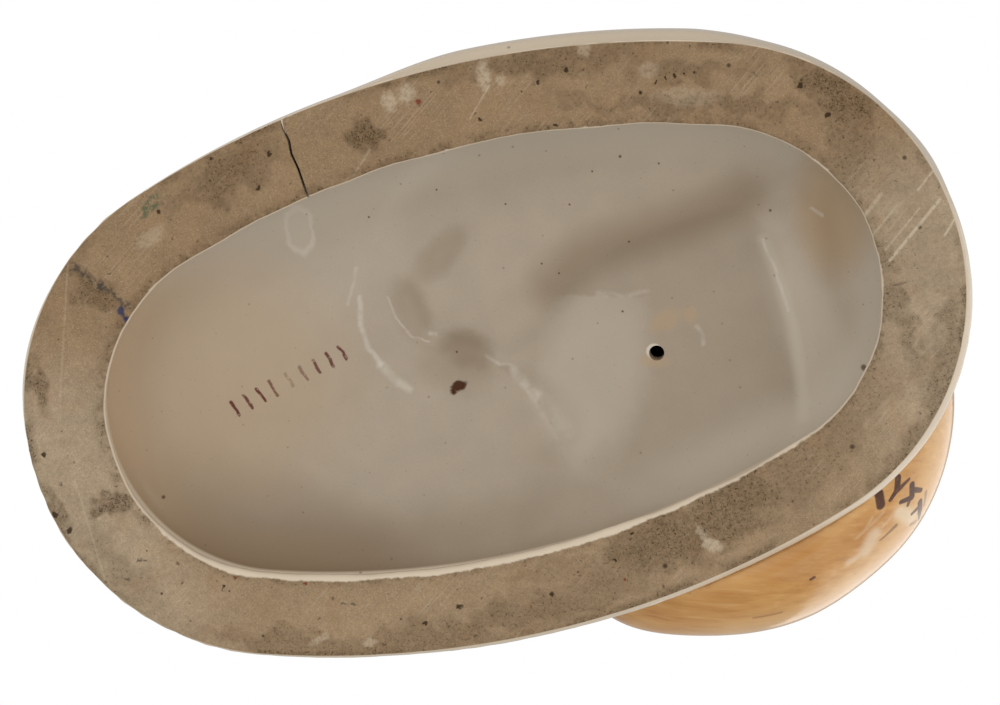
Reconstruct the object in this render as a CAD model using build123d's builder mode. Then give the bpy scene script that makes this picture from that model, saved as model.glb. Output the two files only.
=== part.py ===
from build123d import *
import os
from math import atan2, cos, degrees, radians, sin

# A slip-cast figurine: a reclining cat on an oval plinth, cast in pieces and luted together.
# The foot ring stands on Z = 0 and the long axis of the plinth is X. The haunch is at -X and
# hangs over the front edge of the plinth, which is at -Y.

# Plinth
foot_length = 180.0
foot_width = 108.6
foot_ring = 15.7             # width of the ground foot ring
end_radius = 47.5            # the arcs at the two ends of the oval
wall_levels = (
    # height, how far the outline grows, its shift off the foot
    (0.0, 0.0, (0.0, 0.0)),
    (2.5, -0.3, (-0.9, -1.2)),
    (7.5, 0.6, (0.6, 0.5)),
    (18.0, 0.2, (0.6, 0.5)),
)
top_round = 5.0
recess_depth = 12.0
recess_draft = 4.0
recess_fillet = 4.0
lip_round = 0.8

# Hollows that rise from the recess into the figure, as centre and half axes
wall = 4.0
dome_centre = (-31.0, -11.0, 8.0)
dome_size = (24.0, 23.5, 19.0)
chest_centre = (10.0, 11.0, 9.0)
chest_size = (11.5, 16.0, 10.0)
ridge_round = 2.5
vent_bore = 2.7
vent_place = (-28.0, -11.3)

# Body: stations along its axis from the rump up into the neck
body_start = (-38.0, -22.0)
body_turn = 34.0
body_stations = (
    # along, height, lean, half width, half height
    (-30.0, 38.0, 0.0, 12.0, 12.0),
    (-14.0, 38.5, 2.0, 27.5, 26.0),
    (6.0, 39.5, 3.0, 31.0, 30.0),
    (20.0, 41.0, 8.0, 30.5, 31.5),
    (36.0, 43.5, 16.0, 28.0, 31.0),
    (49.0, 50.5, 38.0, 24.0, 28.0),
    (57.0, 62.0, 60.0, 21.5, 23.5),
    (60.0, 79.0, 80.0, 18.0, 18.0),
)
cavity_ends = 0.93           # the cavity is this much shorter than the body
haunch_centre = (-36.5, -23.5, 25.0)
haunch_size = (45.0, 45.5, 31.0)
rump_centre = (-51.0, -27.0, 38.0)
rump_size = (29.5, 31.0, 29.0)
neck_bore = 7.0
body_foot = 2.5              # the haunch hangs down to this height

# Head, with its features each as (ahead, aside, up) from its middle and half axes
head_centre = (13.0, 13.0, 92.0)
head_size = (20.5, 24.0, 20.0)
head_turn = -42.0
muzzle_bridge = ((12.0, 0.0, -3.5), (10.0, 8.5, 8.0))
muzzle_pad = ((17.0, 5.0, -7.0), (7.0, 6.8, 5.6))
cheek = ((4.0, 13.5, -7.5), (12.0, 10.5, 9.0))
chin = ((15.5, 0.0, -12.0), (6.0, 5.5, 4.2))
nose = ((22.6, 0.0, -2.8), (2.6, 3.6, 2.2))
eye = ((15.6, 9.4, 3.8), (3.6, 4.6, 3.8))

# Ears
ear_root = (-1.0, 13.5, 12.0)
ear_height = 16.0
ear_splay = 20.0
ear_base = (11.0, 5.2)
ear_tip = (2.2, 1.5)
ear_scoop = 0.68             # share of the ear's breadth that the scoop takes

# Legs and tail, as stations as (x, y, z, radius), paws as centre, half axes and turn
near_foreleg = (
    (-2.0, -10.0, 46.0, 12.0),
    (3.0, -12.0, 36.0, 13.0),
    (16.0, -11.5, 28.5, 11.5),
    (32.0, -10.0, 26.5, 9.2),
    (48.0, -8.5, 25.6, 8.2),
)
near_paw = ((53.0, -8.0, 25.6), (12.5, 9.8, 8.4), 4.0)
far_foreleg = (
    (6.0, 25.0, 44.0, 11.0),
    (14.0, 26.0, 34.0, 12.0),
    (28.0, 25.0, 27.5, 10.5),
    (42.0, 20.5, 26.5, 9.0),
    (55.0, 14.5, 25.6, 8.2),
)
far_paw = ((60.0, 12.0, 25.6), (12.5, 9.8, 8.4), -26.0)
hind_paw_form = ((4.0, -37.5, 24.8), (24.0, 9.2, 9.0), 8.0)
toe_groove = (1.1, 1.4)      # depth and width
toe_lanes = (-0.3, 0.3)      # shares of the paw's half width
toe_reach = 0.95             # share of the paw's half length at which the grooves lie
tail_stations = (
    (-58.0, -8.0, 36.0, 8.0),
    (-70.0, 6.0, 31.0, 8.0),
    (-68.0, 22.0, 25.6, 7.8),
    (-50.0, 34.0, 25.2, 7.4),
    (-26.0, 40.0, 25.0, 7.2),
    (0.0, 41.0, 25.0, 7.4),
)

end_centre = foot_length / 2 - end_radius
side_rise = foot_width / 2
side_radius = (end_centre**2 + side_rise**2 - end_radius**2) / (2 * (side_rise - end_radius))
side_centre = side_radius - side_rise
arc_turn = degrees(atan2(side_centre, end_centre))


def draw_oval(grow=0.0, shift=(0.0, 0.0)):
    """Four tangent arcs, grown outward by one distance all round."""
    x, y = shift
    with BuildLine() as outline:
        CenterArc((x + end_centre, y), end_radius + grow, -arc_turn, 2 * arc_turn)
        CenterArc((x, y - side_centre), side_radius + grow, arc_turn, 180 - 2 * arc_turn)
        CenterArc((x - end_centre, y), end_radius + grow, 180 - arc_turn, 2 * arc_turn)
        CenterArc((x, y + side_centre), side_radius + grow, 180 + arc_turn, 180 - 2 * arc_turn)
    make_face(outline.line.edges())


def ellipsoid(centre, size, turn=0.0):
    """A ball stretched to three half axes and turned about Z."""
    ball = scale(Sphere(1.0, mode=Mode.PRIVATE), by=size, mode=Mode.PRIVATE)
    return Pos(*centre) * Rot(0, 0, turn) * ball


def grown(size, by):
    """Half axes made longer by one distance, or shorter."""
    return tuple(half + by for half in size)


def head_point(ahead, aside, up):
    """A place on the head, measured from its middle along its own directions."""
    turn = radians(head_turn)
    x = head_centre[0] + ahead * cos(turn) - aside * sin(turn)
    y = head_centre[1] + ahead * sin(turn) + aside * cos(turn)
    return x, y, head_centre[2] + up


def on_head(feature, side=1):
    """A feature of the head, on its left for side = 1 and on its right for side = -1."""
    (ahead, aside, up), size = feature
    return ellipsoid(head_point(ahead, side * aside, up), size, head_turn)


def body_station(along, height, lean):
    """The plane across the body at one station, with the body's width along its X."""
    turn = radians(body_turn)
    ahead = Vector(cos(turn), sin(turn), 0)
    across = (-sin(turn), cos(turn), 0)
    origin = Vector(*body_start, height) + ahead * along
    normal = ahead * cos(radians(lean)) + Vector(0, 0, 1) * sin(radians(lean))
    return Plane(origin, x_dir=across, z_dir=normal)


def limb_planes(stations):
    """Planes square to a limb's line of centres, one at each station."""
    centres = [Vector(*station[:3]) for station in stations]
    last = len(centres) - 1
    return [
        Plane(centre, z_dir=centres[min(index + 1, last)] - centres[max(index - 1, 0)])
        for index, centre in enumerate(centres)
    ]


def toe_cutter(paw, lane):
    """A thin blade that scores the front of a paw to one depth."""
    centre, size, turn = paw
    depth, width = toe_groove
    blade = Box(size[0], width, 2 * size[2] + 2, mode=Mode.PRIVATE)
    blade = Pos(*centre) * Rot(0, 0, turn) * Pos(size[0] * toe_reach, lane * size[1], 0) * blade
    return blade - ellipsoid(centre, grown(size, -depth), turn)


# The outer form of the plinth, used again to trim what stands on it
with BuildPart() as plinth_block:
    for height, grow, shift in wall_levels:
        with BuildSketch(Plane.XY.offset(height)):
            draw_oval(grow, shift)
    loft(ruled=True)
    fillet(faces().sort_by(Axis.Z)[-1].edges(), radius=top_round)
    add(ellipsoid(dome_centre, grown(dome_size, wall)))
    add(ellipsoid(chest_centre, grown(chest_size, wall)))
    split(bisect_by=Plane.XY, keep=Keep.TOP)

# The space under the plinth: a shallow recess whose roof rises into the figure
with BuildPart() as recess:
    with BuildSketch():
        draw_oval(-foot_ring)
    extrude(amount=recess_depth, taper=recess_draft)
    fillet(faces().sort_by(Axis.Z)[-1].edges(), radius=recess_fillet)
    add(ellipsoid(dome_centre, dome_size))
    add(ellipsoid(chest_centre, chest_size))
    roof_rims = [
        rim
        for rim in edges().filter_by(GeomType.BSPLINE)
        if abs(rim.bounding_box().min.Z - recess_depth) < 0.01
    ]
    fillet(roof_rims, radius=ridge_round)

with BuildPart() as plinth:
    add(plinth_block.part)
    add(recess.part, mode=Mode.SUBTRACT)
    with BuildSketch(Plane.XY.offset(recess_depth)):
        with Locations(vent_place):
            Circle(vent_bore / 2)
    extrude(amount=dome_size[2], mode=Mode.SUBTRACT)
    fillet(edges().filter_by_position(Axis.Z, -0.01, 0.01), radius=lip_round)
plinth.part.label = "plinth"

# The outer form of the body and neck, used again to trim what is luted to it
with BuildPart() as body_block:
    for along, height, lean, half_width, half_height in body_stations:
        with BuildSketch(body_station(along, height, lean)):
            Ellipse(half_width, half_height)
    loft()
    add(ellipsoid(haunch_centre, haunch_size))
    add(ellipsoid(rump_centre, rump_size, body_turn))
    split(bisect_by=Plane.XY.offset(body_foot), keep=Keep.TOP)
    add(plinth_block.part, mode=Mode.SUBTRACT)

# The closed space in the body, which the vent reaches, and the bore up through the neck
with BuildPart() as body_cavity:
    for along, height, lean, half_width, half_height in body_stations[1:-1]:
        with BuildSketch(body_station(along * cavity_ends, height, lean)):
            Ellipse(half_width - wall, half_height - wall)
    loft()
    add(ellipsoid(haunch_centre, grown(haunch_size, -wall)))
    neck_along, neck_height, neck_lean = body_stations[-2][:3]
    neck_rise = body_stations[-1][1] - neck_height
    with BuildSketch(body_station(neck_along, neck_height, neck_lean)):
        Circle(neck_bore)
    extrude(amount=2 * neck_rise)

with BuildPart() as body:
    add(body_block.part)
    add(body_cavity.part, mode=Mode.SUBTRACT)
body.part.label = "body"

# The head sits over the neck as a socket, hollow like the body
with BuildPart() as head:
    add(ellipsoid(head_centre, head_size, head_turn))
    for side in (1, -1):
        add(on_head(cheek, side))
        add(on_head(muzzle_pad, side))
        add(on_head(eye, side))
    add(on_head(muzzle_bridge))
    add(on_head(chin))
    add(on_head(nose))
    add(ellipsoid(head_centre, grown(head_size, -wall), head_turn), mode=Mode.SUBTRACT)
    add(body_block.part, mode=Mode.SUBTRACT)
head.part.label = "head"

# Each ear is a tapering leaf with a scooped front, trimmed to the head
ears = []
for name, side in (("left_ear", 1), ("right_ear", -1)):
    ahead = Vector(cos(radians(head_turn)), sin(radians(head_turn)), 0)
    aside = Vector(-ahead.Y, ahead.X, 0) * side
    rise = aside * sin(radians(ear_splay)) + Vector(0, 0, 1) * cos(radians(ear_splay))
    broad = ahead.cross(rise)
    root = Vector(*head_point(ear_root[0], side * ear_root[1], ear_root[2]))
    leaf = Plane(root, x_dir=broad, z_dir=rise)
    scoop = Plane(root + ahead * ear_base[1], x_dir=broad, z_dir=rise)
    with BuildPart() as ear:
        with BuildSketch(leaf):
            Ellipse(*ear_base)
        with BuildSketch(leaf.offset(ear_height)):
            Ellipse(*ear_tip)
        loft()
        with BuildSketch(scoop):
            Ellipse(ear_base[0] * ear_scoop, ear_base[1] * ear_scoop)
        with BuildSketch(scoop.offset(ear_height)):
            Ellipse(ear_tip[0] * ear_scoop / 2, ear_tip[1] * ear_scoop / 2)
        loft(mode=Mode.SUBTRACT)
        add(ellipsoid(head_centre, head_size, head_turn), mode=Mode.SUBTRACT)
    ear.part.label = name
    ears.append(ear.part)

# Forelegs lie along the plinth, each a lofted limb with its paw
forelegs = []
for name, stations, paw in (
    ("right_foreleg", near_foreleg, near_paw),
    ("left_foreleg", far_foreleg, far_paw),
):
    with BuildPart() as foreleg:
        for plane, station in zip(limb_planes(stations), stations):
            with BuildSketch(plane):
                Circle(station[3])
        loft()
        add(ellipsoid(*paw))
        for lane in toe_lanes:
            add(toe_cutter(paw, lane), mode=Mode.SUBTRACT)
        add(plinth_block.part, mode=Mode.SUBTRACT)
        add(body_block.part, mode=Mode.SUBTRACT)
    foreleg.part.label = name
    forelegs.append(foreleg.part)

with BuildPart() as hind_paw:
    add(ellipsoid(*hind_paw_form))
    for lane in toe_lanes:
        add(toe_cutter(hind_paw_form, lane), mode=Mode.SUBTRACT)
    add(plinth_block.part, mode=Mode.SUBTRACT)
    add(body_block.part, mode=Mode.SUBTRACT)
    add(forelegs[0], mode=Mode.SUBTRACT)
hind_paw.part.label = "right_hind_paw"

# The tail lies round the back of the body on the plinth, with a rounded tip
with BuildPart() as tail:
    for plane, station in zip(limb_planes(tail_stations), tail_stations):
        with BuildSketch(plane):
            Circle(station[3])
    loft()
    with Locations(tail_stations[-1][:3]):
        Sphere(tail_stations[-1][3])
    add(plinth_block.part, mode=Mode.SUBTRACT)
    add(body_block.part, mode=Mode.SUBTRACT)
tail.part.label = "tail"

# The origin is on the ground under the middle of the whole figure
castings = [plinth.part, body.part, head.part, *ears, *forelegs, hind_paw.part, tail.part]
middle = Compound(castings).bounding_box().center()
print(f"origin of the figure at {middle.X:.4f}, {middle.Y:.4f} from the middle of the foot")
os.makedirs("parts", exist_ok=True)
for casting in castings:
    placed = Pos(-middle.X, -middle.Y, 0) * casting
    placed.label = casting.label
    print(placed.label, [round(solid.volume) for solid in placed.solids()], placed.is_valid)
    export_step(placed, f"parts/{placed.label}.step")
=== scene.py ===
import bpy, bmesh, math
import numpy as np
from mathutils import Matrix, Vector, noise


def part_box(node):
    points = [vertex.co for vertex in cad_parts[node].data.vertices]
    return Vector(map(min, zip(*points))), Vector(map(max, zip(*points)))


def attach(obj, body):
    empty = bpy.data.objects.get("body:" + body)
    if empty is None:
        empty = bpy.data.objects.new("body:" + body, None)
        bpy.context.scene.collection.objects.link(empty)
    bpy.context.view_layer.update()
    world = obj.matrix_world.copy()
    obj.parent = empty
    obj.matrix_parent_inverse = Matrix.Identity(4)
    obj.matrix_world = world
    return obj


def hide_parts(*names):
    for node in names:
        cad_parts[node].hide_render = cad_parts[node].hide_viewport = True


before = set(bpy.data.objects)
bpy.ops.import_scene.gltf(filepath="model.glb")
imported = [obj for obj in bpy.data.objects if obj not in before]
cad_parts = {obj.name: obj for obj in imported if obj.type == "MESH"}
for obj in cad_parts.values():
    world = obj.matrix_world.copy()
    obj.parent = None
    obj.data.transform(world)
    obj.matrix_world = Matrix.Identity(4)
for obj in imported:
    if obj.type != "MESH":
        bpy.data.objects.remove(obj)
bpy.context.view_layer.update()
mm = 0.001

# The foot of the plinth: the four arcs of its outline, and how its wall swells above it
foot = dict(
    length=180.0, width=108.6, endRadius=47.5,
    # height, how far the outline grows, its shift off the foot
    wallLevels=[(0, 0, (0, 0)), (2.5, -0.3, (-0.9, -1.2)), (7.5, 0.6, (0.6, 0.5)), (18, 0.2, (0.6, 0.5))],
    widestLevel=2,
)
plinthLow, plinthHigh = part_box("plinth")
swell, shift = foot["wallLevels"][foot["widestLevel"]][1:]
footMiddle = Vector((
    plinthHigh.x - (foot["length"] / 2 + swell + shift[0]) * mm,
    plinthHigh.y - (foot["width"] / 2 + swell + shift[1]) * mm,
    0.0,
))
print("foot middle", [round(v / mm, 2) for v in footMiddle])


def place(x, y, z=0.0):
    # millimetres from the middle of the foot
    return footMiddle + Vector((x, y, z)) * mm


def deselectAll():
    if bpy.context.object and bpy.context.object.mode != "OBJECT":
        bpy.ops.object.mode_set(mode="OBJECT")
    bpy.ops.object.select_all(action="DESELECT")


def makeActive(piece):
    deselectAll()
    piece.select_set(True)
    bpy.context.view_layer.objects.active = piece


def applyModifier(piece, kind, **settings):
    makeActive(piece)
    modifier = piece.modifiers.new(kind.title(), kind)
    for name, value in settings.items():
        setattr(modifier, name, value)
    bpy.ops.object.modifier_apply(modifier=modifier.name)


def pointsOf(piece):
    # the piece's vertices in millimetres from the middle of the foot
    points = np.empty(len(piece.data.vertices) * 3, np.float32)
    piece.data.vertices.foreach_get("co", points)
    return (points.reshape(-1, 3).astype(float) - np.array(footMiddle)) / mm


def setPoints(piece, points):
    piece.data.vertices.foreach_set("co", (points * mm + np.array(footMiddle)).astype(np.float32).ravel())
    piece.data.update()


# Camera: below the figure, leaning to its back edge
camera = dict(distance=1000.0, lean=11.0, leanTowards=65.0, roll=15.37, lens=192.9, aside=1.70)


def viewAxes():
    roll, lean, towards = (math.radians(camera[k]) for k in ("roll", "lean", "leanTowards"))
    right = Vector((-math.cos(roll), -math.sin(roll), 0))
    up = Vector((-math.sin(roll), math.cos(roll), 0))
    sideways = right * math.cos(towards) + up * math.sin(towards)
    back = sideways * math.sin(lean) - Vector((0, 0, 1)) * math.cos(lean)
    up = (up - back * up.dot(back)).normalized()
    return up.cross(back), up, back


def setCamera():
    right, up, back = viewAxes()
    target = footMiddle + right * camera["aside"] * mm
    bpy.ops.object.camera_add(location=target + back * camera["distance"] * mm)
    eye = bpy.context.object
    eye.name = "viewFromBelow"
    eye.rotation_mode = "QUATERNION"
    eye.rotation_quaternion = Matrix([[right[i], up[i], back[i]] for i in range(3)]).to_quaternion()
    eye.data.lens = camera["lens"]
    eye.data.sensor_width = 36.0
    eye.data.clip_start = 0.01
    bpy.context.scene.camera = eye


deselectAll()
setCamera()
print("camera set")

# The plinth: a ground foot ring round a glazed recess, whose roof rises into the figure
plinth = dict(
    height=18.0, topRound=5.0, footEdge=0.5, ring=15.7, lipRound=1.0,
    recessDepth=12.0, roofEdge=-22.0, roofWall=4.0,
    # how finely it is cast: steps round it, heights up the wall, rings in from the foot's outline
    steps=512, wallHeights=(1.2, 1.9, 2.5, 3.2, 4, 5, 6, 7, 8, 9.5, 11, 12, 13),
    faceRings=(0.9, 2, 4.5, 7.5, 10.5, 12.5, 14), topArc=8, lipArc=5, roofArc=14, roofRings=76, topRings=30,
    # behind the lip: outward, up
    overhang=[(0.02, 1.5), (0.3, 2.0), (0.7, 2.8), (1.15, 4.0), (1.6, 5.6), (1.9, 7.4)],
    # hand finishing: slow and quick unevenness, and its reach, in and up, at the lip and at the foot
    wobble=0.28, wobbleSize=11.0, nick=0.10, nickSize=2.3, lipReach=(2.5, 5.0), footReach=(2.0, 3.0),
    # fettled thinner: direction, spread either way, how much
    thinned=[(54.0, 46.0, 1.7), (155.0, 18.0, 1.0)],
    # what shapes the roof, in millimetres from the middle of the foot
    haunchHollow=dict(
        edge=[
            (2, -4.3), (-6, 1), (-13.6, 6.7), (-20.8, 10.4), (-29.2, 12.6), (-43.6, 13.9), (-52, 12.6),
            (-54.6, 4), (-54.2, -9.3), (-53.4, -19), (-51.5, -28), (-44, -36), (-32, -38), (-19, -34.5),
            (-9.5, -28), (-5.6, -19.5), (-3.3, -11),
        ],
        depth=10.0, reach=25.0, soft=0.8, apronDepth=1.5, apronReach=9.0,
    ),
    chestHollow=dict(
        edge=[
            (4, -34), (12, -17), (19.8, -4.5), (22.8, 1), (24, 6.8), (23.6, 12), (21.6, 18.6), (17.5, 25.5),
            (12, 31.5), (3, 38),
        ],
        depth=2.7, rise=5.2, fade=26.0, soft=0.4, foot=-5.0, footSoft=3.6,
    ),
    roofDents=[
        # path, half breadth, rise (less than nothing for a ridge)
        ([(14.4, 12.4), (13.8, 6.2)], 2.6, 1.1), ([(8.9, 16.6), (3.6, 20.6)], 2.8, 0.9),
        ([(7.8, 0.6), (4, -1.8)], 3.4, 1.9), ([(12, 25.5), (8.5, 30)], 3.2, 0.4),
        ([(17.7, 13), (17.2, 7.7), (15, 4.2), (11, 1.4)], 0.8, -0.22),
        ([(21.3, 21.5), (23.6, 17.6), (26.2, 13.2)], 0.9, -0.14),
        ([(1.6, -4.4), (-2.3, -8.8), (-4.4, -13.7), (-6.3, -21.2)], 0.75, -0.25),
        ([(22.6, 14.6), (24.2, 7.5), (23, 1.7), (20.2, -3.6)], 0.6, -0.2),
        ([(-57, 5.5), (-57.8, -3), (-57, -14), (-54, -27)], 3.6, -0.6), ([(-56.5, 14), (-66, 17)], 4, 1.4),
        ([(-68.5, 9), (-66, -4)], 3.4, 0.9), ([(-4, -27), (1, -38)], 5, 1.2),
    ],
    vent=dict(place=(-28.0, -11.0), height=22.0, bore=2.9, length=30.0, sides=40),
    crack=dict(
        path=[
            (26.4, 58.5), (26.1, 53.5), (26.3, 50.5), (25.9, 48), (26.1, 45.5), (25.6, 42.5), (25.5, 40),
            (25.2, 36.5),
        ],
        width=0.42, depth=7.0,
    ),
)


def outlineSteps():
    # the middles of the arcs, their radii and the directions of equal steps round the outline
    half, rise, radius = foot["length"] / 2, foot["width"] / 2, foot["endRadius"]
    endMiddle = half - radius
    sideRadius = (endMiddle**2 + rise**2 - radius**2) / (2 * (rise - radius))
    sideMiddle = sideRadius - rise
    meet = math.atan2(sideMiddle, endMiddle)
    arcs = [
        (endMiddle, 0, radius, -meet, meet), (0, -sideMiddle, sideRadius, meet, math.pi - meet),
        (-endMiddle, 0.0, radius, math.pi - meet, math.pi + meet),
        (0.0, sideMiddle, sideRadius, math.pi + meet, 2 * math.pi - meet),
    ]
    whole = sum(arc[2] * (arc[4] - arc[3]) for arc in arcs)
    steps = []
    for index in range(plinth["steps"]):
        along = whole * index / plinth["steps"]
        for x, y, arcRadius, start, end in arcs:
            length = arcRadius * (end - start)
            if along < length:
                steps.append((x, y, arcRadius, start + along / arcRadius))
                break
            along -= length
    return steps, arcs


steps, arcs = outlineSteps()


def outlinePoint(index, grow, height, shift=(0.0, 0.0)):
    x, y, radius, turn = steps[index]
    reach = radius + grow
    return place(x + reach * math.cos(turn) + shift[0], y + reach * math.sin(turn) + shift[1], height)


def insideOutline(x, y):
    # how far each place lies inside the foot's outline
    deep = np.full(x.shape, np.inf)
    for middleX, middleY, radius, start, end in arcs:
        turn = np.mod(np.arctan2(y - middleY, x - middleX) - start, 2 * math.pi)
        inArc = turn <= end - start
        deep = np.where(inArc, np.minimum(deep, radius - np.hypot(x - middleX, y - middleY)), deep)
    return deep


def smoothStep(value, low, high):
    share = np.clip((value - low) / (high - low), 0.0, 1.0)
    return share * share * (3.0 - 2.0 * share)


def softAbove(value, soft):
    # nothing below 0 and the value itself above, rounded between
    return soft * np.logaddexp(0.0, value / soft)


def curveThrough(points, closed=False, spans=6):
    # a smooth curve through given points
    count = len(points)
    smooth = []
    for index in range(count if closed else count - 1):
        if closed:
            a, b, c, d = (np.array(points[(index + k) % count]) for k in (-1, 0, 1, 2))
        else:
            a, b, c, d = (np.array(points[min(max(index + k, 0), count - 1)]) for k in (-1, 0, 1, 2))
        for step in range(spans):
            t = step / spans
            bend, twist = 2 * a - 5 * b + 4 * c - d, 3 * b - a - 3 * c + d
            smooth.append(0.5 * (2 * b + (c - a) * t + bend * t**2 + twist * t**3))
    smooth.append(np.array(points[0] if closed else points[-1], float))
    return smooth


def distanceTo(x, y, curve):
    nearest = np.full(x.shape, np.inf)
    for start, end in zip(curve, curve[1:]):
        along = end - start
        share = np.clip(((x - start[0]) * along[0] + (y - start[1]) * along[1]) / (along @ along), 0.0, 1.0)
        awayX, awayY = x - start[0] - share * along[0], y - start[1] - share * along[1]
        nearest = np.minimum(nearest, np.hypot(awayX, awayY))
    return nearest


def softDistanceTo(x, y, curve):
    # like the distance to the curve, but with no crease where two sides are equally far
    pull = np.zeros(x.shape)
    for start, end in zip(curve, curve[1:]):
        middle = (start + end) / 2
        pull += np.hypot(*(end - start)) / np.maximum(np.hypot(x - middle[0], y - middle[1]), 0.9) ** 3
    return (pull / 2) ** -0.5


def isInside(x, y, curve):
    inside = np.zeros(x.shape, bool)
    for start, end in zip(curve, curve[1:]):
        crosses = (start[1] > y) != (end[1] > y)
        height = end[1] - start[1] if end[1] != start[1] else 1e-9
        inside ^= crosses & (x < (end[0] - start[0]) * (y - start[1]) / height + start[0])
    return inside


def roofRise(x, y):
    h = plinth["haunchHollow"]
    edge = curveThrough(h["edge"], closed=True)
    exact, soft = distanceTo(x, y, edge), softDistanceTo(x, y, edge)
    deep = exact + (soft - exact) * smoothStep(exact, 1.0, 4.0)
    deep = np.where(isInside(x, y, edge), deep, -exact)
    share = np.minimum(softAbove(deep, h["soft"]) / h["reach"], 1.0)
    rise = h["depth"] * (1.0 - (1.0 - share) ** 2)
    apron = h["apronDepth"] * smoothStep(deep, -h["apronReach"], -0.5) * smoothStep(y, -6.0, 6.0)
    rise = np.maximum(rise, 0.0) + apron * (1.0 - share)

    c = plinth["chestHollow"]
    ridge = curveThrough(c["edge"])
    away = distanceTo(x, y, ridge)
    # the places to the left of the ridge, followed upwards, are in the hollow
    polygon = ridge + [np.array((-80.0, 60.0)), np.array((-80.0, -60.0)), ridge[0]]
    away = np.where(isInside(x, y, polygon), away, -away)
    inward = softAbove(away, c["soft"])
    chest = c["depth"] * (1.0 - np.exp(-inward / c["rise"])) * np.exp(-inward / c["fade"])
    rise += chest * smoothStep(y, c["foot"] - c["footSoft"], c["foot"] + c["footSoft"]) * (1.0 - share)

    for path, breadth, height in plinth["roofDents"]:
        near = distanceTo(x, y, curveThrough(path))
        rise += height * np.exp(-((near / breadth) ** 2))
    return rise


def startRing(name, profilePoint):
    # a wire ring whose points remember which step of the outline they are
    deselectAll()
    bpy.ops.mesh.primitive_circle_add(vertices=plinth["steps"], radius=0.01, fill_type="NOTHING")
    piece = bpy.context.object
    piece.name = name
    bpy.ops.object.mode_set(mode="EDIT")
    mesh = bmesh.from_edit_mesh(piece.data)
    stepLayer = mesh.verts.layers.int.new("step")
    mesh.verts.ensure_lookup_table()
    for index, vert in enumerate(mesh.verts):
        vert[stepLayer] = index
        vert.co = profilePoint(index)
    bmesh.update_edit_mesh(piece.data)
    bpy.ops.mesh.select_all(action="SELECT")
    return piece


def extrudeRing(piece, profilePoint):
    bpy.ops.mesh.extrude_region()
    mesh = bmesh.from_edit_mesh(piece.data)
    stepLayer = mesh.verts.layers.int["step"]
    for vert in mesh.verts:
        if vert.select:
            vert.co = profilePoint(vert[stepLayer])
    bmesh.update_edit_mesh(piece.data)


def selectOpenEdge(piece):
    bpy.ops.mesh.select_all(action="DESELECT")
    mesh = bmesh.from_edit_mesh(piece.data)
    for edge in mesh.edges:
        if edge.is_boundary:
            edge.select_set(True)
    bmesh.update_edit_mesh(piece.data)


def wallAt(height):
    # growth and shift of the outline at a height, eased from level to level
    levels = foot["wallLevels"]
    for (low, growLow, shiftLow), (high, growHigh, shiftHigh) in zip(levels, levels[1:]):
        if height <= high:
            share = float(smoothStep(height, low, high))
            lower, upper = (growLow, *shiftLow), (growHigh, *shiftHigh)
            return [a + (b - a) * share for a, b in zip(lower, upper)]
    return [levels[-1][1], *levels[-1][2]]


def quarterTurns(count):
    # a quarter circle in equal steps, without its start
    return [math.radians(90.0 * index / count) for index in range(1, count + 1)]


def sweepAndClose(piece, rings):
    # the open ring drawn through the others in turn, and closed in the middle of the last
    for ring in rings:
        extrudeRing(piece, ring)
    bpy.ops.mesh.merge(type="CENTER")


def castPlinth():
    p = plinth

    def ground(grow, height=0.0):
        return lambda index: outlinePoint(index, grow, height)

    def thinning(index):
        x, y, radius, turn = steps[index]
        way = math.degrees(math.atan2(y + radius * math.sin(turn), x + radius * math.cos(turn)))
        return sum(
            depth * float(smoothStep(1 - abs(way - middle) / spread, 0.0, 0.6))
            for middle, spread, depth in p["thinned"]
        )

    def wall(grow, height):
        swell, *shift = wallAt(height)
        fade = float(smoothStep(height, 0.3, 2.5))
        return lambda index: outlinePoint(index, grow + swell - fade * thinning(index), height, shift)

    def drawnIn(ring, share):
        # a ring drawn in towards the middle of the foot
        def point(index):
            edge = ring(index)
            spot = (edge - footMiddle) * share
            return footMiddle + Vector((spot.x, spot.y, edge.z))
        return point

    # from the foot's outer edge up the wall and over the top
    piece = startRing("plinthCasting", ground(-p["footEdge"]))
    climb = [ground(-p["footEdge"] * 0.3, p["footEdge"] * 0.3), wall(0.0, p["footEdge"])]
    climb += [wall(0.0, height) for height in p["wallHeights"]]
    rounding = p["topRound"]
    for turn in quarterTurns(p["topArc"]):
        climb.append(wall(rounding * (math.cos(turn) - 1), p["height"] + rounding * (math.sin(turn) - 1)))
    top = wall(-rounding, p["height"])
    climb += [drawnIn(top, 1.0 - index / p["topRings"]) for index in range(1, p["topRings"])]
    sweepAndClose(piece, climb)

    # from the same edge across the ground ring, over the lip, behind it and over the roof
    selectOpenEdge(piece)
    lip, bead = p["ring"], p["lipRound"]
    sink = [ground(-inward) for inward in (*p["faceRings"], lip - bead)]
    for turn in quarterTurns(p["lipArc"]):
        sink.append(ground(-lip + bead * (1 - math.sin(turn)), bead * (1 - math.cos(turn))))
    sink += [ground(-lip + outward, height) for outward, height in p["overhang"]]
    lastOut, lastUp = p["overhang"][-1]
    for turn in quarterTurns(p["roofArc"]):
        grow = -lip + lastOut - (-p["roofEdge"] - lip + lastOut) * (1 - math.cos(turn))
        sink.append(ground(grow, lastUp + (p["recessDepth"] - lastUp) * math.sin(turn)))
    roof = ground(p["roofEdge"], p["recessDepth"])
    sink += [drawnIn(roof, 1.0 - index / p["roofRings"]) for index in range(1, p["roofRings"])]
    sweepAndClose(piece, sink)
    bpy.ops.mesh.select_all(action="SELECT")
    bpy.ops.mesh.normals_make_consistent(inside=False)
    bpy.ops.object.mode_set(mode="OBJECT")
    print("plinth cast", len(piece.data.vertices))
    return piece


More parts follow.
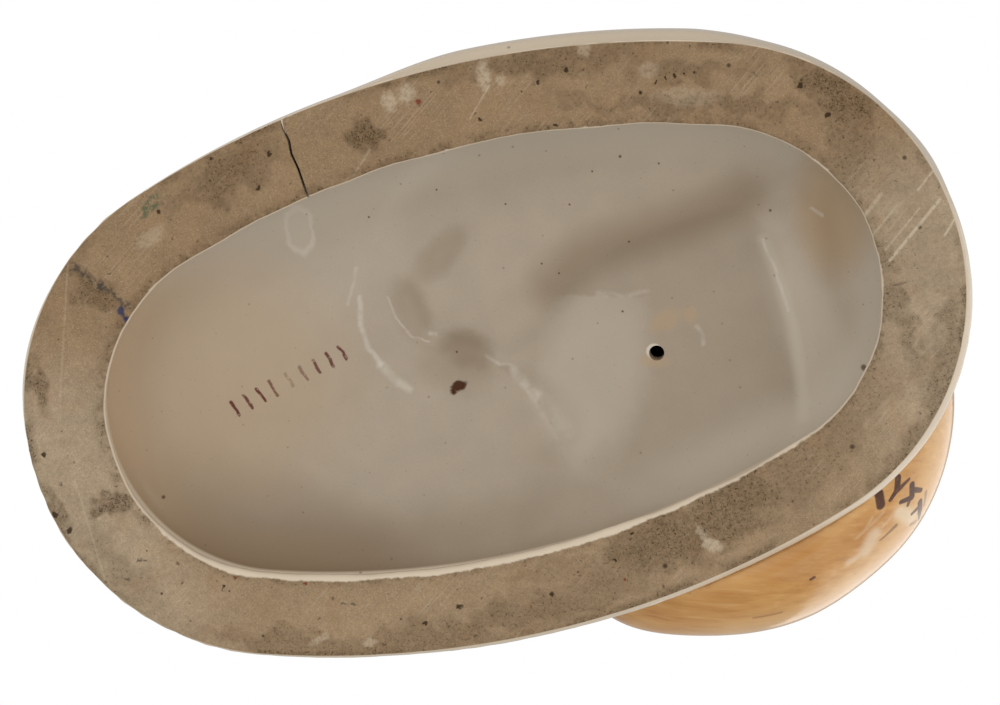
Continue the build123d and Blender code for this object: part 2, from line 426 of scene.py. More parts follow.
def shapeRoof(piece):
    # the roof and the top over it rise with the figure
    p = plinth
    points = pointsOf(piece)
    x, y, z = points.T
    rise = roofRise(x, y)
    depth = insideOutline(x, y)
    under = (depth > p["ring"] - 1.2) & (z < p["recessDepth"] + 0.01)
    weight = smoothStep(z, 7.5, 11.6)
    over = (z > p["height"] - 0.01) & (depth > p["topRound"] + 4.0)
    risen = np.where(over, np.maximum(z, p["recessDepth"] + rise + p["roofWall"]), z)
    points[:, 2] = np.where(under, z + rise * weight, risen)
    setPoints(piece, points)
    print("roof shaped, highest", round(float(points[under][:, 2].max()), 1))


def roughenEdges(piece):
    # hand finishing leaves the lip and the foot's edge a little uneven
    p = plinth
    points = pointsOf(piece)
    depth = insideOutline(points[:, 0], points[:, 1])
    (lipIn, lipUp), (footIn, footUp) = p["lipReach"], p["footReach"]
    for index, (x, y, z) in enumerate(points):
        atLip = max(0.0, 1.0 - abs(depth[index] - p["ring"]) / lipIn) * max(0.0, 1.0 - z / lipUp)
        atFoot = max(0.0, 1.0 - depth[index] / footIn) * max(0.0, 1.0 - z / footUp)
        if atLip <= 0.0 and atFoot <= 0.0:
            continue
        slow = noise.noise(Vector((x, y, 3.0)) / p["wobbleSize"]) * p["wobble"] * 2
        quick = noise.noise(Vector((x, y, 9.0)) / p["nickSize"]) * p["nick"] * 2
        way = Vector((x, y, 0)).normalized()
        push = slow * (atLip + 0.5 * atFoot) + quick * (atLip * 0.6 + atFoot)
        points[index] += np.array(way) * push
    # nothing may leave the casting's own box
    limits = [(np.array(corner) - np.array(footMiddle)) / mm for corner in (plinthLow, plinthHigh)]
    setPoints(piece, np.clip(points, *limits))


def cutAway(piece, tool):
    applyModifier(piece, "BOOLEAN", object=tool, operation="DIFFERENCE", solver="EXACT")
    bpy.data.objects.remove(tool, do_unlink=True)


def cutVent(piece):
    # a pricked hole through the roof into the hollow figure
    deselectAll()
    vent = plinth["vent"]
    bpy.ops.mesh.primitive_cylinder_add(
        vertices=vent["sides"], radius=vent["bore"] / 2 * mm, depth=vent["length"] * mm,
        location=place(*vent["place"], vent["height"]),
    )
    cutAway(piece, bpy.context.object)


def cutCrack(piece):
    # a firing crack: a thin jagged blade taken out across the ring
    deselectAll()
    crack = plinth["crack"]
    path = [Vector((x, y, 0)) for x, y in crack["path"]]
    bpy.ops.mesh.primitive_plane_add(size=0.001)
    blade = bpy.context.object
    bpy.ops.object.mode_set(mode="EDIT")
    mesh = bmesh.from_edit_mesh(blade.data)
    bmesh.ops.delete(mesh, geom=mesh.verts[:], context="VERTS")
    left, right = [], []
    for index, spot in enumerate(path):
        before, after = path[max(index - 1, 0)], path[min(index + 1, len(path) - 1)]
        along = (after - before).normalized()
        aside = Vector((-along.y, along.x, 0))
        # widest at the outer end, and a little uneven
        half = crack["width"] / 2 * (1.15 - 0.3 * index / len(path) + 0.25 * math.sin(index * 2.4))
        left.append(mesh.verts.new(place(*(spot + aside * half)[:2], -1.0)))
        right.append(mesh.verts.new(place(*(spot - aside * half)[:2], -1.0)))
    for index in range(len(path) - 1):
        mesh.faces.new((left[index], left[index + 1], right[index + 1], right[index]))
    bmesh.update_edit_mesh(blade.data)
    bpy.ops.mesh.select_all(action="SELECT")
    bpy.ops.mesh.extrude_region_move(TRANSFORM_OT_translate={"value": (0, 0, (crack["depth"] + 1) * mm)})
    bpy.ops.mesh.select_all(action="SELECT")
    bpy.ops.mesh.normals_make_consistent(inside=False)
    bpy.ops.object.mode_set(mode="OBJECT")
    cutAway(piece, blade)


def keepOnPoints(piece, **values):
    # numbers that the finish reads, one for each point of the piece
    for name, value in values.items():
        layer = piece.data.attributes.new(name, "FLOAT", "POINT")
        layer.data.foreach_set("value", value.astype(np.float32))


def markDepth(piece):
    # for the finish: how far each point lies inside the foot's outline, and which lie in the recess
    points = pointsOf(piece)
    depth = insideOutline(points[:, 0], points[:, 1])
    roof = plinth["recessDepth"] + roofRise(points[:, 0], points[:, 1])
    inner = (depth > plinth["ring"] - 1.3) & (points[:, 2] < roof + plinth["roofWall"] / 2)
    keepOnPoints(piece, across=depth, inner=inner)


def makePlinth():
    piece = castPlinth()
    shapeRoof(piece)
    roughenEdges(piece)
    cutVent(piece)
    cutCrack(piece)
    markDepth(piece)
    makeActive(piece)
    bpy.ops.object.transform_apply(location=True, rotation=True, scale=True)
    bpy.ops.object.shade_smooth_by_angle(angle=math.radians(45))
    print("plinth finished", len(piece.data.polygons))
    return piece


# Node helpers for the clay, the glazes and the painting, which all build in this tree
building = dict(tree=None)


def tone(red, green, blue):
    # a colour as it looks, made linear for a shader
    shares = [part / 255 for part in (red, green, blue)]
    return (*[s / 12.92 if s <= 0.04045 else ((s + 0.055) / 1.055) ** 2.4 for s in shares], 1.0)


def feed(socket, value):
    if isinstance(value, bpy.types.NodeSocket):
        building["tree"].links.new(value, socket)
    else:
        socket.default_value = value


def addNode(kind, sources=None, **settings):
    node = building["tree"].nodes.new("ShaderNode" + kind)
    for name, value in settings.items():
        setattr(node, name, value)
    for name, value in (sources or {}).items():
        feed(node.inputs[name], value)
    return node


def sumOf(operation, *values, clamp=False):
    node = addNode("Math", operation=operation)
    for socket, value in zip(node.inputs, values):
        feed(socket, value)
    if clamp:
        node = addNode("Clamp", {0: node.outputs[0]})
    return node.outputs[0]


def vectorOf(operation, *values):
    node = addNode("VectorMath", operation=operation)
    for socket, value in zip(node.inputs, values):
        feed(socket, value)
    return node.outputs["Value" if operation in ("DISTANCE", "DOT_PRODUCT") else "Vector"]


def partOf(vector, *way):
    # how far a place lies along a direction
    return vectorOf("DOT_PRODUCT", vector, (*way, 0.0)[:3])


def pointValue(name):
    # a number kept on the piece's points
    return addNode("Attribute", attribute_name=name).outputs["Fac"]


def easeOf(value, low, high, outLow=0.0, outHigh=1.0):
    # eased from one end of a range to the other; low may be above high
    sources = {"Value": value, "From Min": low, "From Max": high, "To Min": outLow, "To Max": outHigh}
    return addNode("MapRange", sources, interpolation_type="SMOOTHSTEP", clamp=False).outputs["Result"]


def grey(level):
    return addNode("CombineColor", {0: level, 1: level, 2: level}).outputs[0]


def shovedAbout(vector, at, size, amount):
    # places pushed about a little, for ragged marks
    push = addNode("CombineXYZ", {i: noiseOf(mapped(at, (40.0 * i, 7, 0)), size) for i in (0, 1)})
    pushed = vectorOf("MULTIPLY_ADD", push.outputs[0], (amount, amount, 0), vector)
    return vectorOf("SUBTRACT", pushed, (amount / 2, amount / 2, 0))


def layOver(under, colour, share, strength=1.0, blend="MIX"):
    # one colour brushed over another
    if strength != 1.0:
        share = sumOf("MULTIPLY", share, strength)
    node = addNode("Mix", {0: share, 6: under, 7: colour}, data_type="RGBA", blend_type=blend)
    return node.outputs[2]


def bumpOf(height, strength, depth):
    return addNode("Bump", {"Height": height, "Strength": strength, "Distance": depth * mm}).outputs[0]


def mottled(paint, *parts):
    # darker and lighter by each noise and its strength
    levels = [sumOf("MULTIPLY_ADD", part, strength, 1 - strength / 2) for part, strength in parts]
    return layOver(paint, grey(bothOf(*levels)), 1.0, blend="MULTIPLY")


def noiseOf(vector, size, detail=2.0, rough=0.5, space="2D"):
    sources = {"Vector": vector, "Scale": 1.0 / size, "Detail": detail, "Roughness": rough}
    return addNode("TexNoise", sources, noise_dimensions=space).outputs["Fac"]


def mapped(vector, middle=(0, 0, 0), size=(1, 1, 1), turn=0.0):
    # a place as seen from a middle, turned and measured in the given sizes; for noises
    sources = {"Vector": vector, "Location": middle, "Rotation": (0, 0, math.radians(turn)), "Scale": size}
    return addNode("Mapping", sources, vector_type="TEXTURE").outputs["Vector"]


def grouped(name, build, **sources):
    # a node group that is built on first use, with a socket for each thing it is given
    group = bpy.data.node_groups.get(name)
    if group is None:
        group = bpy.data.node_groups.new(name, "ShaderNodeTree")
        for socket, value in sources.items():
            kind = "NodeSocketFloat" if isinstance(value, (int, float)) else "NodeSocketVector"
            group.interface.new_socket(socket, in_out="INPUT", socket_type=kind)
        group.interface.new_socket("share", in_out="OUTPUT", socket_type="NodeSocketFloat")
        given, result = group.nodes.new("NodeGroupInput"), group.nodes.new("NodeGroupOutput")
        outer, building["tree"] = building["tree"], group
        feed(result.inputs["share"], build(given.outputs))
        building["tree"] = outer
    node = addNode("Group", node_tree=group)
    for socket, value in sources.items():
        feed(node.inputs[socket], value)
    return node.outputs["share"]


def spotOf(vector, middle, radius, soft=0.5):
    def build(given):
        return easeOf(vectorOf("DISTANCE", given["at"], given["middle"]), given["far"], given["near"])

    middle = (*middle, 0.0)[:3]
    return grouped(
        "spot", build, at=vector, middle=middle, far=radius * (1 + soft), near=radius * (1 - soft),
    )


def reachFrom(given):
    # how far out of an oval's middle a place is, squared; one on its edge
    away = vectorOf("SUBTRACT", given["at"], given["middle"])
    along = vectorOf("DOT_PRODUCT", away, given["length"])
    aside = vectorOf("DOT_PRODUCT", away, given["breadth"])
    return sumOf("MULTIPLY_ADD", aside, aside, sumOf("MULTIPLY", along, along))


def ovalAxes(middle, size, turn):
    way = Vector((math.cos(math.radians(turn)), math.sin(math.radians(turn)), 0))
    return dict(
        middle=(*middle, 0.0)[:3], length=way / size[0], breadth=Vector((-way.y, way.x, 0)) / size[1],
    )


def ovalReach(vector, middle, size, turn):
    return grouped("ovalReach", reachFrom, at=vector, **ovalAxes(middle, size, turn))


def ovalOf(vector, middle, size, turn, soft):
    def build(given):
        return easeOf(reachFrom(given), given["far"], given["near"])

    ends = dict(far=(1 + soft) ** 2, near=(1 - soft) ** 2)
    return grouped("oval", build, at=vector, **ovalAxes(middle, size, turn), **ends)


def sideOf(vector, start, end):
    # how far a place lies to the left of a line, going from its start
    along = (Vector(end) - Vector(start)).normalized()
    aside = partOf(vector, -along.y, along.x)
    return sumOf("SUBTRACT", aside, along.x * start[1] - along.y * start[0])


def strokeOf(vector, start, end, width, soft, taper=0.0):
    # a straight stroke with round ends, thinner towards its end
    def build(given):
        spot = vectorOf("SUBTRACT", given["at"], given["start"])
        share = sumOf("MULTIPLY", vectorOf("DOT_PRODUCT", spot, given["run"]), given["perRun"], clamp=True)
        reached = addNode("VectorMath", {0: given["run"], 3: share}, operation="SCALE").outputs["Vector"]
        away = vectorOf("DISTANCE", spot, reached)
        if taper:
            away = sumOf("DIVIDE", away, sumOf("MULTIPLY_ADD", share, given["taper"], 1.0))
        return easeOf(away, given["far"], given["near"])

    start, end = Vector((*start, 0.0)[:3]), Vector((*end, 0.0)[:3])
    run = end - start
    settings = dict(start=start, run=run, perRun=1.0 / run.length_squared)
    settings.update(far=width / 2 * (1 + soft), near=width / 2 * (1 - soft))
    if taper:
        settings["taper"] = -taper
    return grouped("taperedStroke" if taper else "stroke", build, at=vector, **settings)


def brushOf(vector, path, width, soft):
    return anyOf(strokeOf(vector, start, end, width, soft) for start, end in zip(path, path[1:]))


def anyOf(shares):
    # the strongest of many shares; given one at a time, so few are held at once
    whole = None
    for share in shares:
        whole = share if whole is None else sumOf("MAXIMUM", whole, share)
    return whole


def strongest(rows, shape):
    # the strongest of many marks, each row ending in its strength
    return anyOf(sumOf("MULTIPLY", shape(*row), strength) for *row, strength in rows)


def bothOf(*shares):
    # where all of the shares meet
    whole = shares[0]
    for share in shares[1:]:
        whole = sumOf("MULTIPLY", whole, share)
    return whole


def specksOf(vector, apart, kept, radius, soft=0.5, space="2D"):
    # round specks, one in some of the cells of a random net
    net = addNode("TexVoronoi", {"Vector": vector, "Scale": 1.0 / apart}, voronoi_dimensions=space)
    lot = addNode("SeparateColor", {0: net.outputs["Color"]})
    reach = sumOf("MULTIPLY", net.outputs["Distance"], apart)
    ownRadius = sumOf("MULTIPLY_ADD", lot.outputs[1], radius, radius * 0.5)
    near = sumOf("DIVIDE", reach, ownRadius)
    chosen = sumOf("LESS_THAN", lot.outputs[0], kept)
    return sumOf("MULTIPLY", easeOf(near, 1 + soft, 1 - soft), chosen)


def startFinish(name):
    # a material, with the place on the piece in millimetres from the middle of the foot
    material = bpy.data.materials.new(name)
    material.use_nodes = True
    building["tree"] = material.node_tree
    at = addNode("TexCoord").outputs["Object"]
    offset = tuple(-value / mm for value in footMiddle)
    at = addNode("Mapping", {"Vector": at, "Location": offset, "Scale": (1 / mm,) * 3}).outputs["Vector"]
    return material, material.node_tree.nodes["Principled BSDF"], at


def dress(piece, material):
    piece.data.materials.clear()
    piece.data.materials.append(material)


# The ground clay of the ring
clay = dict(
    ends=tone(165, 146, 121), front=tone(155, 132, 104), back=tone(146, 122, 94), dirt=tone(86, 67, 46),
    speck=tone(48, 34, 21), ruddy=tone(154, 120, 88), scratch=tone(205, 190, 166),
    green=tone(74, 92, 70), blue=tone(38, 50, 84), red=tone(118, 42, 28), pale=tone(196, 180, 155),
    grey=tone(76, 69, 62), scratchTurn=145.4, rough=0.82, shine=0.04, tooth=0.35, toothDepth=0.12,
    # how strongly each size of mottling shows, from broad to as fine as the grain
    mottle=(0.30, 0.36, 0.44, 0.52), ruddyShare=0.22, sandedShare=0.28, grainShare=0.30,
    outerDirt=0.62, innerDirt=0.52, mediumSpecks=0.55, largeSpecks=0.75,
    dotShare=0.88, blueShare=0.85, redShare=0.8,
    # middle, half length and half breadth, turn, strength
    smoke=[
        ((-24, -42.5), (11, 4.2), -8, 0.6), ((-34, -40), (9, 4.6), -14, 0.62),
        ((-75, 30), (6, 2.6), 48, 0.7), ((-74.5, 21), (3, 6), 0, 0.42), ((38, 45), (7, 3.4), -15, 0.55),
        ((46, 43), (4, 2.4), -25, 0.35), ((-25, 50), (13, 2.2), 9, 0.48),
        ((-82, -22), (2.4, 11), 24, 0.45), ((-70, -39), (8, 2.2), -38, 0.42),
        ((69, 30), (5, 1.9), 52, 0.6), ((30, -49.5), (26, 2.2), 4, 0.4),
        ((-74.5, -6), (1.6, 15), -6, 0.42), ((-50, 35), (20, 1.4), 16, 0.42),
        ((12.4, 45.6), (2.2, 2.4), 0, 0.75), ((76.5, -10), (3.4, 1.4), 8, 0.72),
        ((84.4, 15.4), (1.4, 3.8), 0, 0.55), ((-69.5, 14), (2.2, 4), 0, 0.35),
        ((88, -14), (1.3, 10), -12, 0.5), ((79, -22), (2.2, 8), -28, 0.28),
        ((-14, 52), (9, 1.4), 4, 0.34), ((52, -44), (11, 1.8), 20, 0.42),
        ((-50, 41.5), (9, 1.5), 14, 0.34), ((6, -50), (16, 2), 2, 0.42), ((-1, -42), (7, 1.6), 2, 0.25),
        ((-48, -37), (11, 4), -24, 0.34), ((-62, -28), (9, 3.5), -38, 0.28),
        ((-12, -46), (10, 3), -3, 0.34), ((-80, 8), (5, 14), -8, 0.15),
    ],
    # middle, half length and half breadth, turn, strength
    pales=[
        ((5.9, 50.4), (1.2, 1.6), 10, 0.55), ((2.3, 50.8), (1.2, 1.6), 10, 0.55),
        ((-12.6, 50.6), (1.1, 2.3), 10, 0.6), ((-30.5, -45.7), (1.5, 1), 20, 0.7),
        ((-29.3, -43.4), (0.6, 1.9), -20, 0.45), ((-42.2, 43.7), (1.6, 1.2), 0, 0.3),
        ((46, -45), (1.6, 0.6), -10, 0.5), ((36.9, -47.8), (1.3, 0.6), 0, 0.5),
        ((56, 37), (2.6, 1.2), -20, 0.3), ((-31.8, 50.8), (1.1, 1.6), 0, 0.4),
        ((-15.5, 48.8), (0.8, 0.9), 0, 0.4), ((-48, 37), (5, 1.5), 16, 0.25),
    ],
    # start, end, width, strength
    scratches=[
        ((-76.3, -1.9), (-88, 6.7), 0.55, 0.62), ((-87.3, 0.1), (-89.6, 2.4), 0.4, 0.6),
        ((-76, 0.2), (-84, 6.1), 0.35, 0.35), ((-74.4, 3.4), (-80.2, 7.8), 0.35, 0.3),
        ((-84.6, 9.5), (-88.4, 12.4), 0.4, 0.5), ((-73, 6.6), (-77.8, 10.4), 0.7, 0.35),
        ((72.4, 36.6), (81.2, 11.7), 0.35, 0.16), ((82.7, -3.8), (82.5, -23.7), 0.35, 0.18),
        ((16, 38.6), (11.6, 42.6), 0.4, 0.18), ((-8, 43.5), (-13, 48.4), 0.3, 0.3),
    ],
    # start, end, width, strength
    strokes=[
        ((71.4, 35.7), (67.7, 30.8), 1.3, 0.8), ((67.7, 30.8), (63.4, 25.4), 1.1, 0.75),
        ((37.7, -40.2), (39.9, -39.4), 0.4, 0.7), ((73.2, -22.5), (75.4, -21.4), 0.45, 0.8),
        ((77.9, -24.9), (79, -24.2), 0.4, 0.7), ((-61.5, 37.5), (-60, 38.9), 0.35, 0.5),
    ],
    # middle, radius
    dots=[
        ((-39.7, 40.1), 0.55), ((1.1, -47.3), 0.6), ((18.7, -45.4), 0.55), ((88.2, -9.3), 0.6),
        ((86.3, -12.8), 0.6), ((87.1, 2.3), 0.55), ((-9.6, 42.8), 0.4), ((-22, 46.6), 0.4),
        ((-27.6, 47.6), 0.5), ((-23, 38.3), 0.35), ((-68.6, 33.8), 0.5), ((-72.1, 27.2), 0.4),
        ((40.9, 48.5), 0.45), ((53, 41.2), 0.35), ((25.8, -46.8), 0.4), ((-42.8, 41.2), 0.3),
        ((-44.9, 41.4), 0.28), ((-46.8, 41.5), 0.3), ((-48.7, 41.4), 0.28), ((-50.4, 41), 0.3),
        ((-12, -44), 0.4), ((-16.6, -39.8), 0.35), ((61, -30.5), 0.3), ((30, 46.7), 0.45),
        ((33.8, 41), 0.4),
    ],
    greens=[((54.4, 43.0), (2.6, 1.1), -35, 0.75)],
    blues=[((65.3, 24.9), 0.9), ((64.7, 23.4), 0.6)],
    reds=[((0.5, 49.0), 0.6), ((45.9, -34.1), 0.28), ((58.4, -29.5), 0.26), ((-12.9, -48.2), 0.3)],
)


def clayColour(flat, plane, across):
    c = clay
    ragged = noiseOf(flat, 1.1, 3.0, 0.7)
    x, y = partOf(plane, 1, 0), partOf(plane, 0, 1)
    shoved = shovedAbout(plane, flat, 1.3, 1.4)
    paint = layOver(c["front"], c["back"], easeOf(y, -28.0, 28.0))
    atEnds = bothOf(easeOf(sumOf("ABSOLUTE", x), 54.0, 82.0), easeOf(y, 26.0, 6.0))
    paint = layOver(paint, c["ends"], atEnds)

    # mottling
    broad, middling = noiseOf(flat, 13.0, 3.0), noiseOf(flat, 3.1, 4.0, 0.6)
    fine, grain = noiseOf(flat, 0.9, 3.0, 0.7), noiseOf(flat, 0.34, 2.0, 0.7)
    paint = mottled(paint, *zip((broad, middling, fine, grain), c["mottle"]))
    ruddy = noiseOf(mapped(flat, (31.0, 7.0, 0.0)), 7.0, 2.0)
    paint = layOver(paint, c["ruddy"], easeOf(ruddy, 0.52, 0.78), c["ruddyShare"])

    # sanding lines across the whole ring, in patches
    lines = noiseOf(mapped(flat, (0, 0, 0), (16.0, 0.34, 1.0), c["scratchTurn"]), 1.0, 2.0, 0.6)
    patches = noiseOf(mapped(flat, (5.0, 41.0, 0.0)), 15.0, 1.0)
    sanded = bothOf(easeOf(lines, 0.52, 0.78), easeOf(patches, 0.44, 0.68))
    paint = layOver(paint, c["pale"], sanded, c["sandedShare"])
    paint = layOver(paint, c["pale"], easeOf(grain, 0.60, 0.78), c["grainShare"])

    # dirt held in the open grain: smoky places, and both edges
    wide = shovedAbout(plane, flat, 5.0, 9.0)
    cloud = strongest(c["smoke"], lambda *oval: ovalOf(wide, *oval, 0.85))
    outer = bothOf(easeOf(across, 2.6, 0.5), easeOf(broad, 0.42, 0.60), c["outerDirt"])
    inner = bothOf(easeOf(across, 12.6, 15.0), easeOf(middling, 0.38, 0.60), c["innerDirt"])
    cloud = anyOf([cloud, outer, inner])
    held = easeOf(sumOf("ADD", grain, sumOf("MULTIPLY", ragged, 0.6)), 0.62, 1.02)
    held = sumOf("MULTIPLY_ADD", held, 0.85, 0.42)
    paint = layOver(paint, c["dirt"], sumOf("MULTIPLY", cloud, held, clamp=True))

    # specks, thickest where the dirt is
    thick = sumOf("MULTIPLY_ADD", cloud, 1.4, 0.12, clamp=True)
    grit = noiseOf(mapped(flat, (9.0, 9.0, 0.0)), 0.55, 3.0, 0.75)
    small = sumOf("MULTIPLY", easeOf(grit, 0.575, 0.70), thick)
    medium = sumOf("MULTIPLY", specksOf(shoved, 3.4, 0.34, 0.17), c["mediumSpecks"])
    large = sumOf("MULTIPLY", specksOf(mapped(flat, (17, 5, 0)), 13.0, 0.40, 0.30), c["largeSpecks"])
    paint = layOver(paint, c["speck"], anyOf([small, medium, large]))

    # marks listed one by one
    for middle, size, turn, strength in c["pales"]:
        mark = bothOf(ovalOf(shoved, middle, size, turn, 0.6), easeOf(fine, 0.30, 0.58, 0.35, 1.0))
        paint = layOver(paint, c["pale"], mark, strength)
    for start, end, width, strength in c["scratches"]:
        mark = bothOf(strokeOf(plane, start, end, width, 0.7), easeOf(fine, 0.14, 0.50))
        paint = layOver(paint, c["scratch"], mark, strength)
    for start, end, width, strength in c["strokes"]:
        mark = bothOf(strokeOf(shoved, start, end, width, 0.6), easeOf(ragged, 0.34, 0.56))
        paint = layOver(paint, c["grey"], mark, strength)
    dots = anyOf(spotOf(shoved, *dot, 0.35) for dot in c["dots"])
    paint = layOver(paint, c["speck"], dots, c["dotShare"])
    for middle, size, turn, strength in c["greens"]:
        mark = bothOf(ovalOf(shoved, middle, size, turn, 0.5), easeOf(ragged, 0.38, 0.60))
        paint = layOver(paint, c["green"], mark, strength)
    blue = anyOf(spotOf(shoved, *dot, 0.4) for dot in c["blues"])
    paint = layOver(paint, c["blue"], blue, c["blueShare"])
    red = anyOf(spotOf(shoved, *dot, 0.4) for dot in c["reds"])
    return layOver(paint, c["red"], red, c["redShare"])


# The clear glaze over cream slip, inside the recess and round the wall
creamGlaze = dict(
    inside=tone(168, 154, 136), warm=tone(180, 153, 120), shade=tone(124, 104, 80),
    light=tone(188, 177, 161), lip=tone(212, 196, 174), wall=tone(208, 192, 170),
    pinhole=tone(80, 62, 46), crest=tone(206, 197, 184), tan=tone(166, 136, 98), brown=tone(66, 33, 3),
    rim=tone(222, 212, 196), tallyRed=tone(84, 18, 14), crackDirt=tone(34, 25, 18),
    roughness=0.22, shine=0.13, peel=0.25, peelDepth=0.10,
    # how strongly each colour is laid on
    warmShare=0.7, shadeShare=0.60, lightShare=0.85, shadowShare=0.52,
    paintedReflectionShare=0.50, ridgeShare=0.50, smudgeShare=0.5, dripShare=0.4, rimShare=0.7, tallyShare=0.95,
    tallyWidth=0.62, tallyLean=((-0.5, -1.4), (0.4, 1.3)), crackShare=0.9,
    # colour, middle, half length and half breadth, turn, strength: painted shade and painted light, and
    # warm and tan tints
    paintedShadeLightAndTints=[
        ("shade", (50, -27), (22, 9), 38, 0.42), ("light", (38, 25), (26, 12), -20, 0.28),
        ("warm", (56, 8), (19, 16), 20, 0.45), ("shade", (-38, -12), (24, 22), 0, 0.16),
        ("light", (-58.5, -16), (4, 17), -8, 0.4), ("tan", (-68.5, 9), (5, 9), 10, 0.6),
    ],
    brownSpot=((9.3, -6.4), (1.5, 0.9), -15.0), brownTail=((10.6, -7.2), 0.6),
    dripRing=((30.3, 29.9), (2.7, 4.7), 8.0),
    # a painted reflection in the haunch's hollow, cut raggedly along its upper edge
    paintedReflection=(-16.5, -10.0), paintedReflectionSize=(16.0, 8.5), paintedReflectionTurn=112.0, paintedReflectionCut=[(-18.8, 3.4), (-31.0, -0.6)],
    smudges=[((-31.2, -5.4), (2.6, 1.6), -20), ((-36.0, -5.2), (1.3, 1.3), 0)],
    # path, width, strength: painted highlights along the crests, where the glaze also breaks pale
    highlightStreaks=[
        ([(22.8, 14.6), (24, 9.5), (23.8, 5), (22.4, 1.2)], 0.8, 0.5),
        ([(22.4, 1.2), (20.8, -2), (18.6, -4.6)], 1.3, 0.42),
        ([(21.8, 20.3), (23.2, 17.6), (25.4, 14)], 0.6, 0.3),
        ([(17.7, 13), (17.4, 8.5), (15.4, 4.6), (12.6, 2.9)], 0.4, 0.36),
        ([(12, 4.4), (11, 4)], 0.6, 0.4), ([(2.8, -2.8), (0.6, -4.6), (-1.4, -5.4)], 0.6, 0.42),
        ([(-1.6, -6.4), (-3.2, -9.6), (-4.6, -12.2)], 1.4, 0.45),
        ([(-4.6, -12.2), (-6.2, -16.5), (-8, -20)], 3, 0.22),
        ([(-53.4, 5.8), (-54.5, -1), (-54.8, -8)], 0.6, 0.45), ([(-64, 9.5), (-65.6, 7.6)], 0.6, 0.4),
        ([(-36.6, -7.8), (-37.4, -9.6), (-37, -11.4)], 0.7, 0.3),
        ([(-20.5, 3.2), (-25, 1.4), (-29.5, 1)], 0.9, 0.22),
    ],
    # middle, half length and half breadth, turn, strength: painted shade in the pockets
    paintedPocketShade=[
        ((6.3, 18.3), (4.4, 2.2), -32, 0.26), ((14.2, 9.5), (4.4, 2.3), 82, 0.28),
        ((6.4, 0), (3.4, 2.4), 34, 0.48), ((9, -3), (5, 3.4), 30, 0.25),
    ],
    shadowPath=[(-13, 7), (-20, 11), (-29, 12), (-41, 12.5), (-52, 14.5)],
    # a painted highlight runs along this ridge
    ridgePath=[(-53.6, 5.6), (-54.6, -3.0), (-54.8, -11.0), (-54.0, -20.0), (-52.4, -28.0)],
    # middle, strength
    tally=[
        ((51.6, 0.1), 0.95), ((48.9, 0.8), 0.9), ((46.2, 1.4), 0.95), ((43.5, 2), 0.75),
        ((40.2, 2.8), 0.35), ((37.2, 3.4), 0.55), ((34.4, 4), 0.85), ((31.6, 4.7), 0.9),
        ((28.9, 5.3), 0.9),
    ],
    # middle, radius
    pinholes=[
        ((69.5, -12.9), 0.34), ((-65.9, -21.9), 0.55), ((-31.8, 28), 0.28), ((-8.5, 24.7), 0.2),
        ((-20.2, 21.6), 0.2), ((-26, 26.6), 0.2), ((-56.3, 10.8), 0.25), ((-29, 11.7), 0.22),
        ((-12.1, 12), 0.2), ((-14.7, 9.3), 0.2), ((-23.9, -1.5), 0.22), ((8.2, -0.5), 0.22),
        ((17, 29), 0.2), ((3.4, 30.6), 0.18), ((-38.5, 24.9), 0.2),
    ],
)


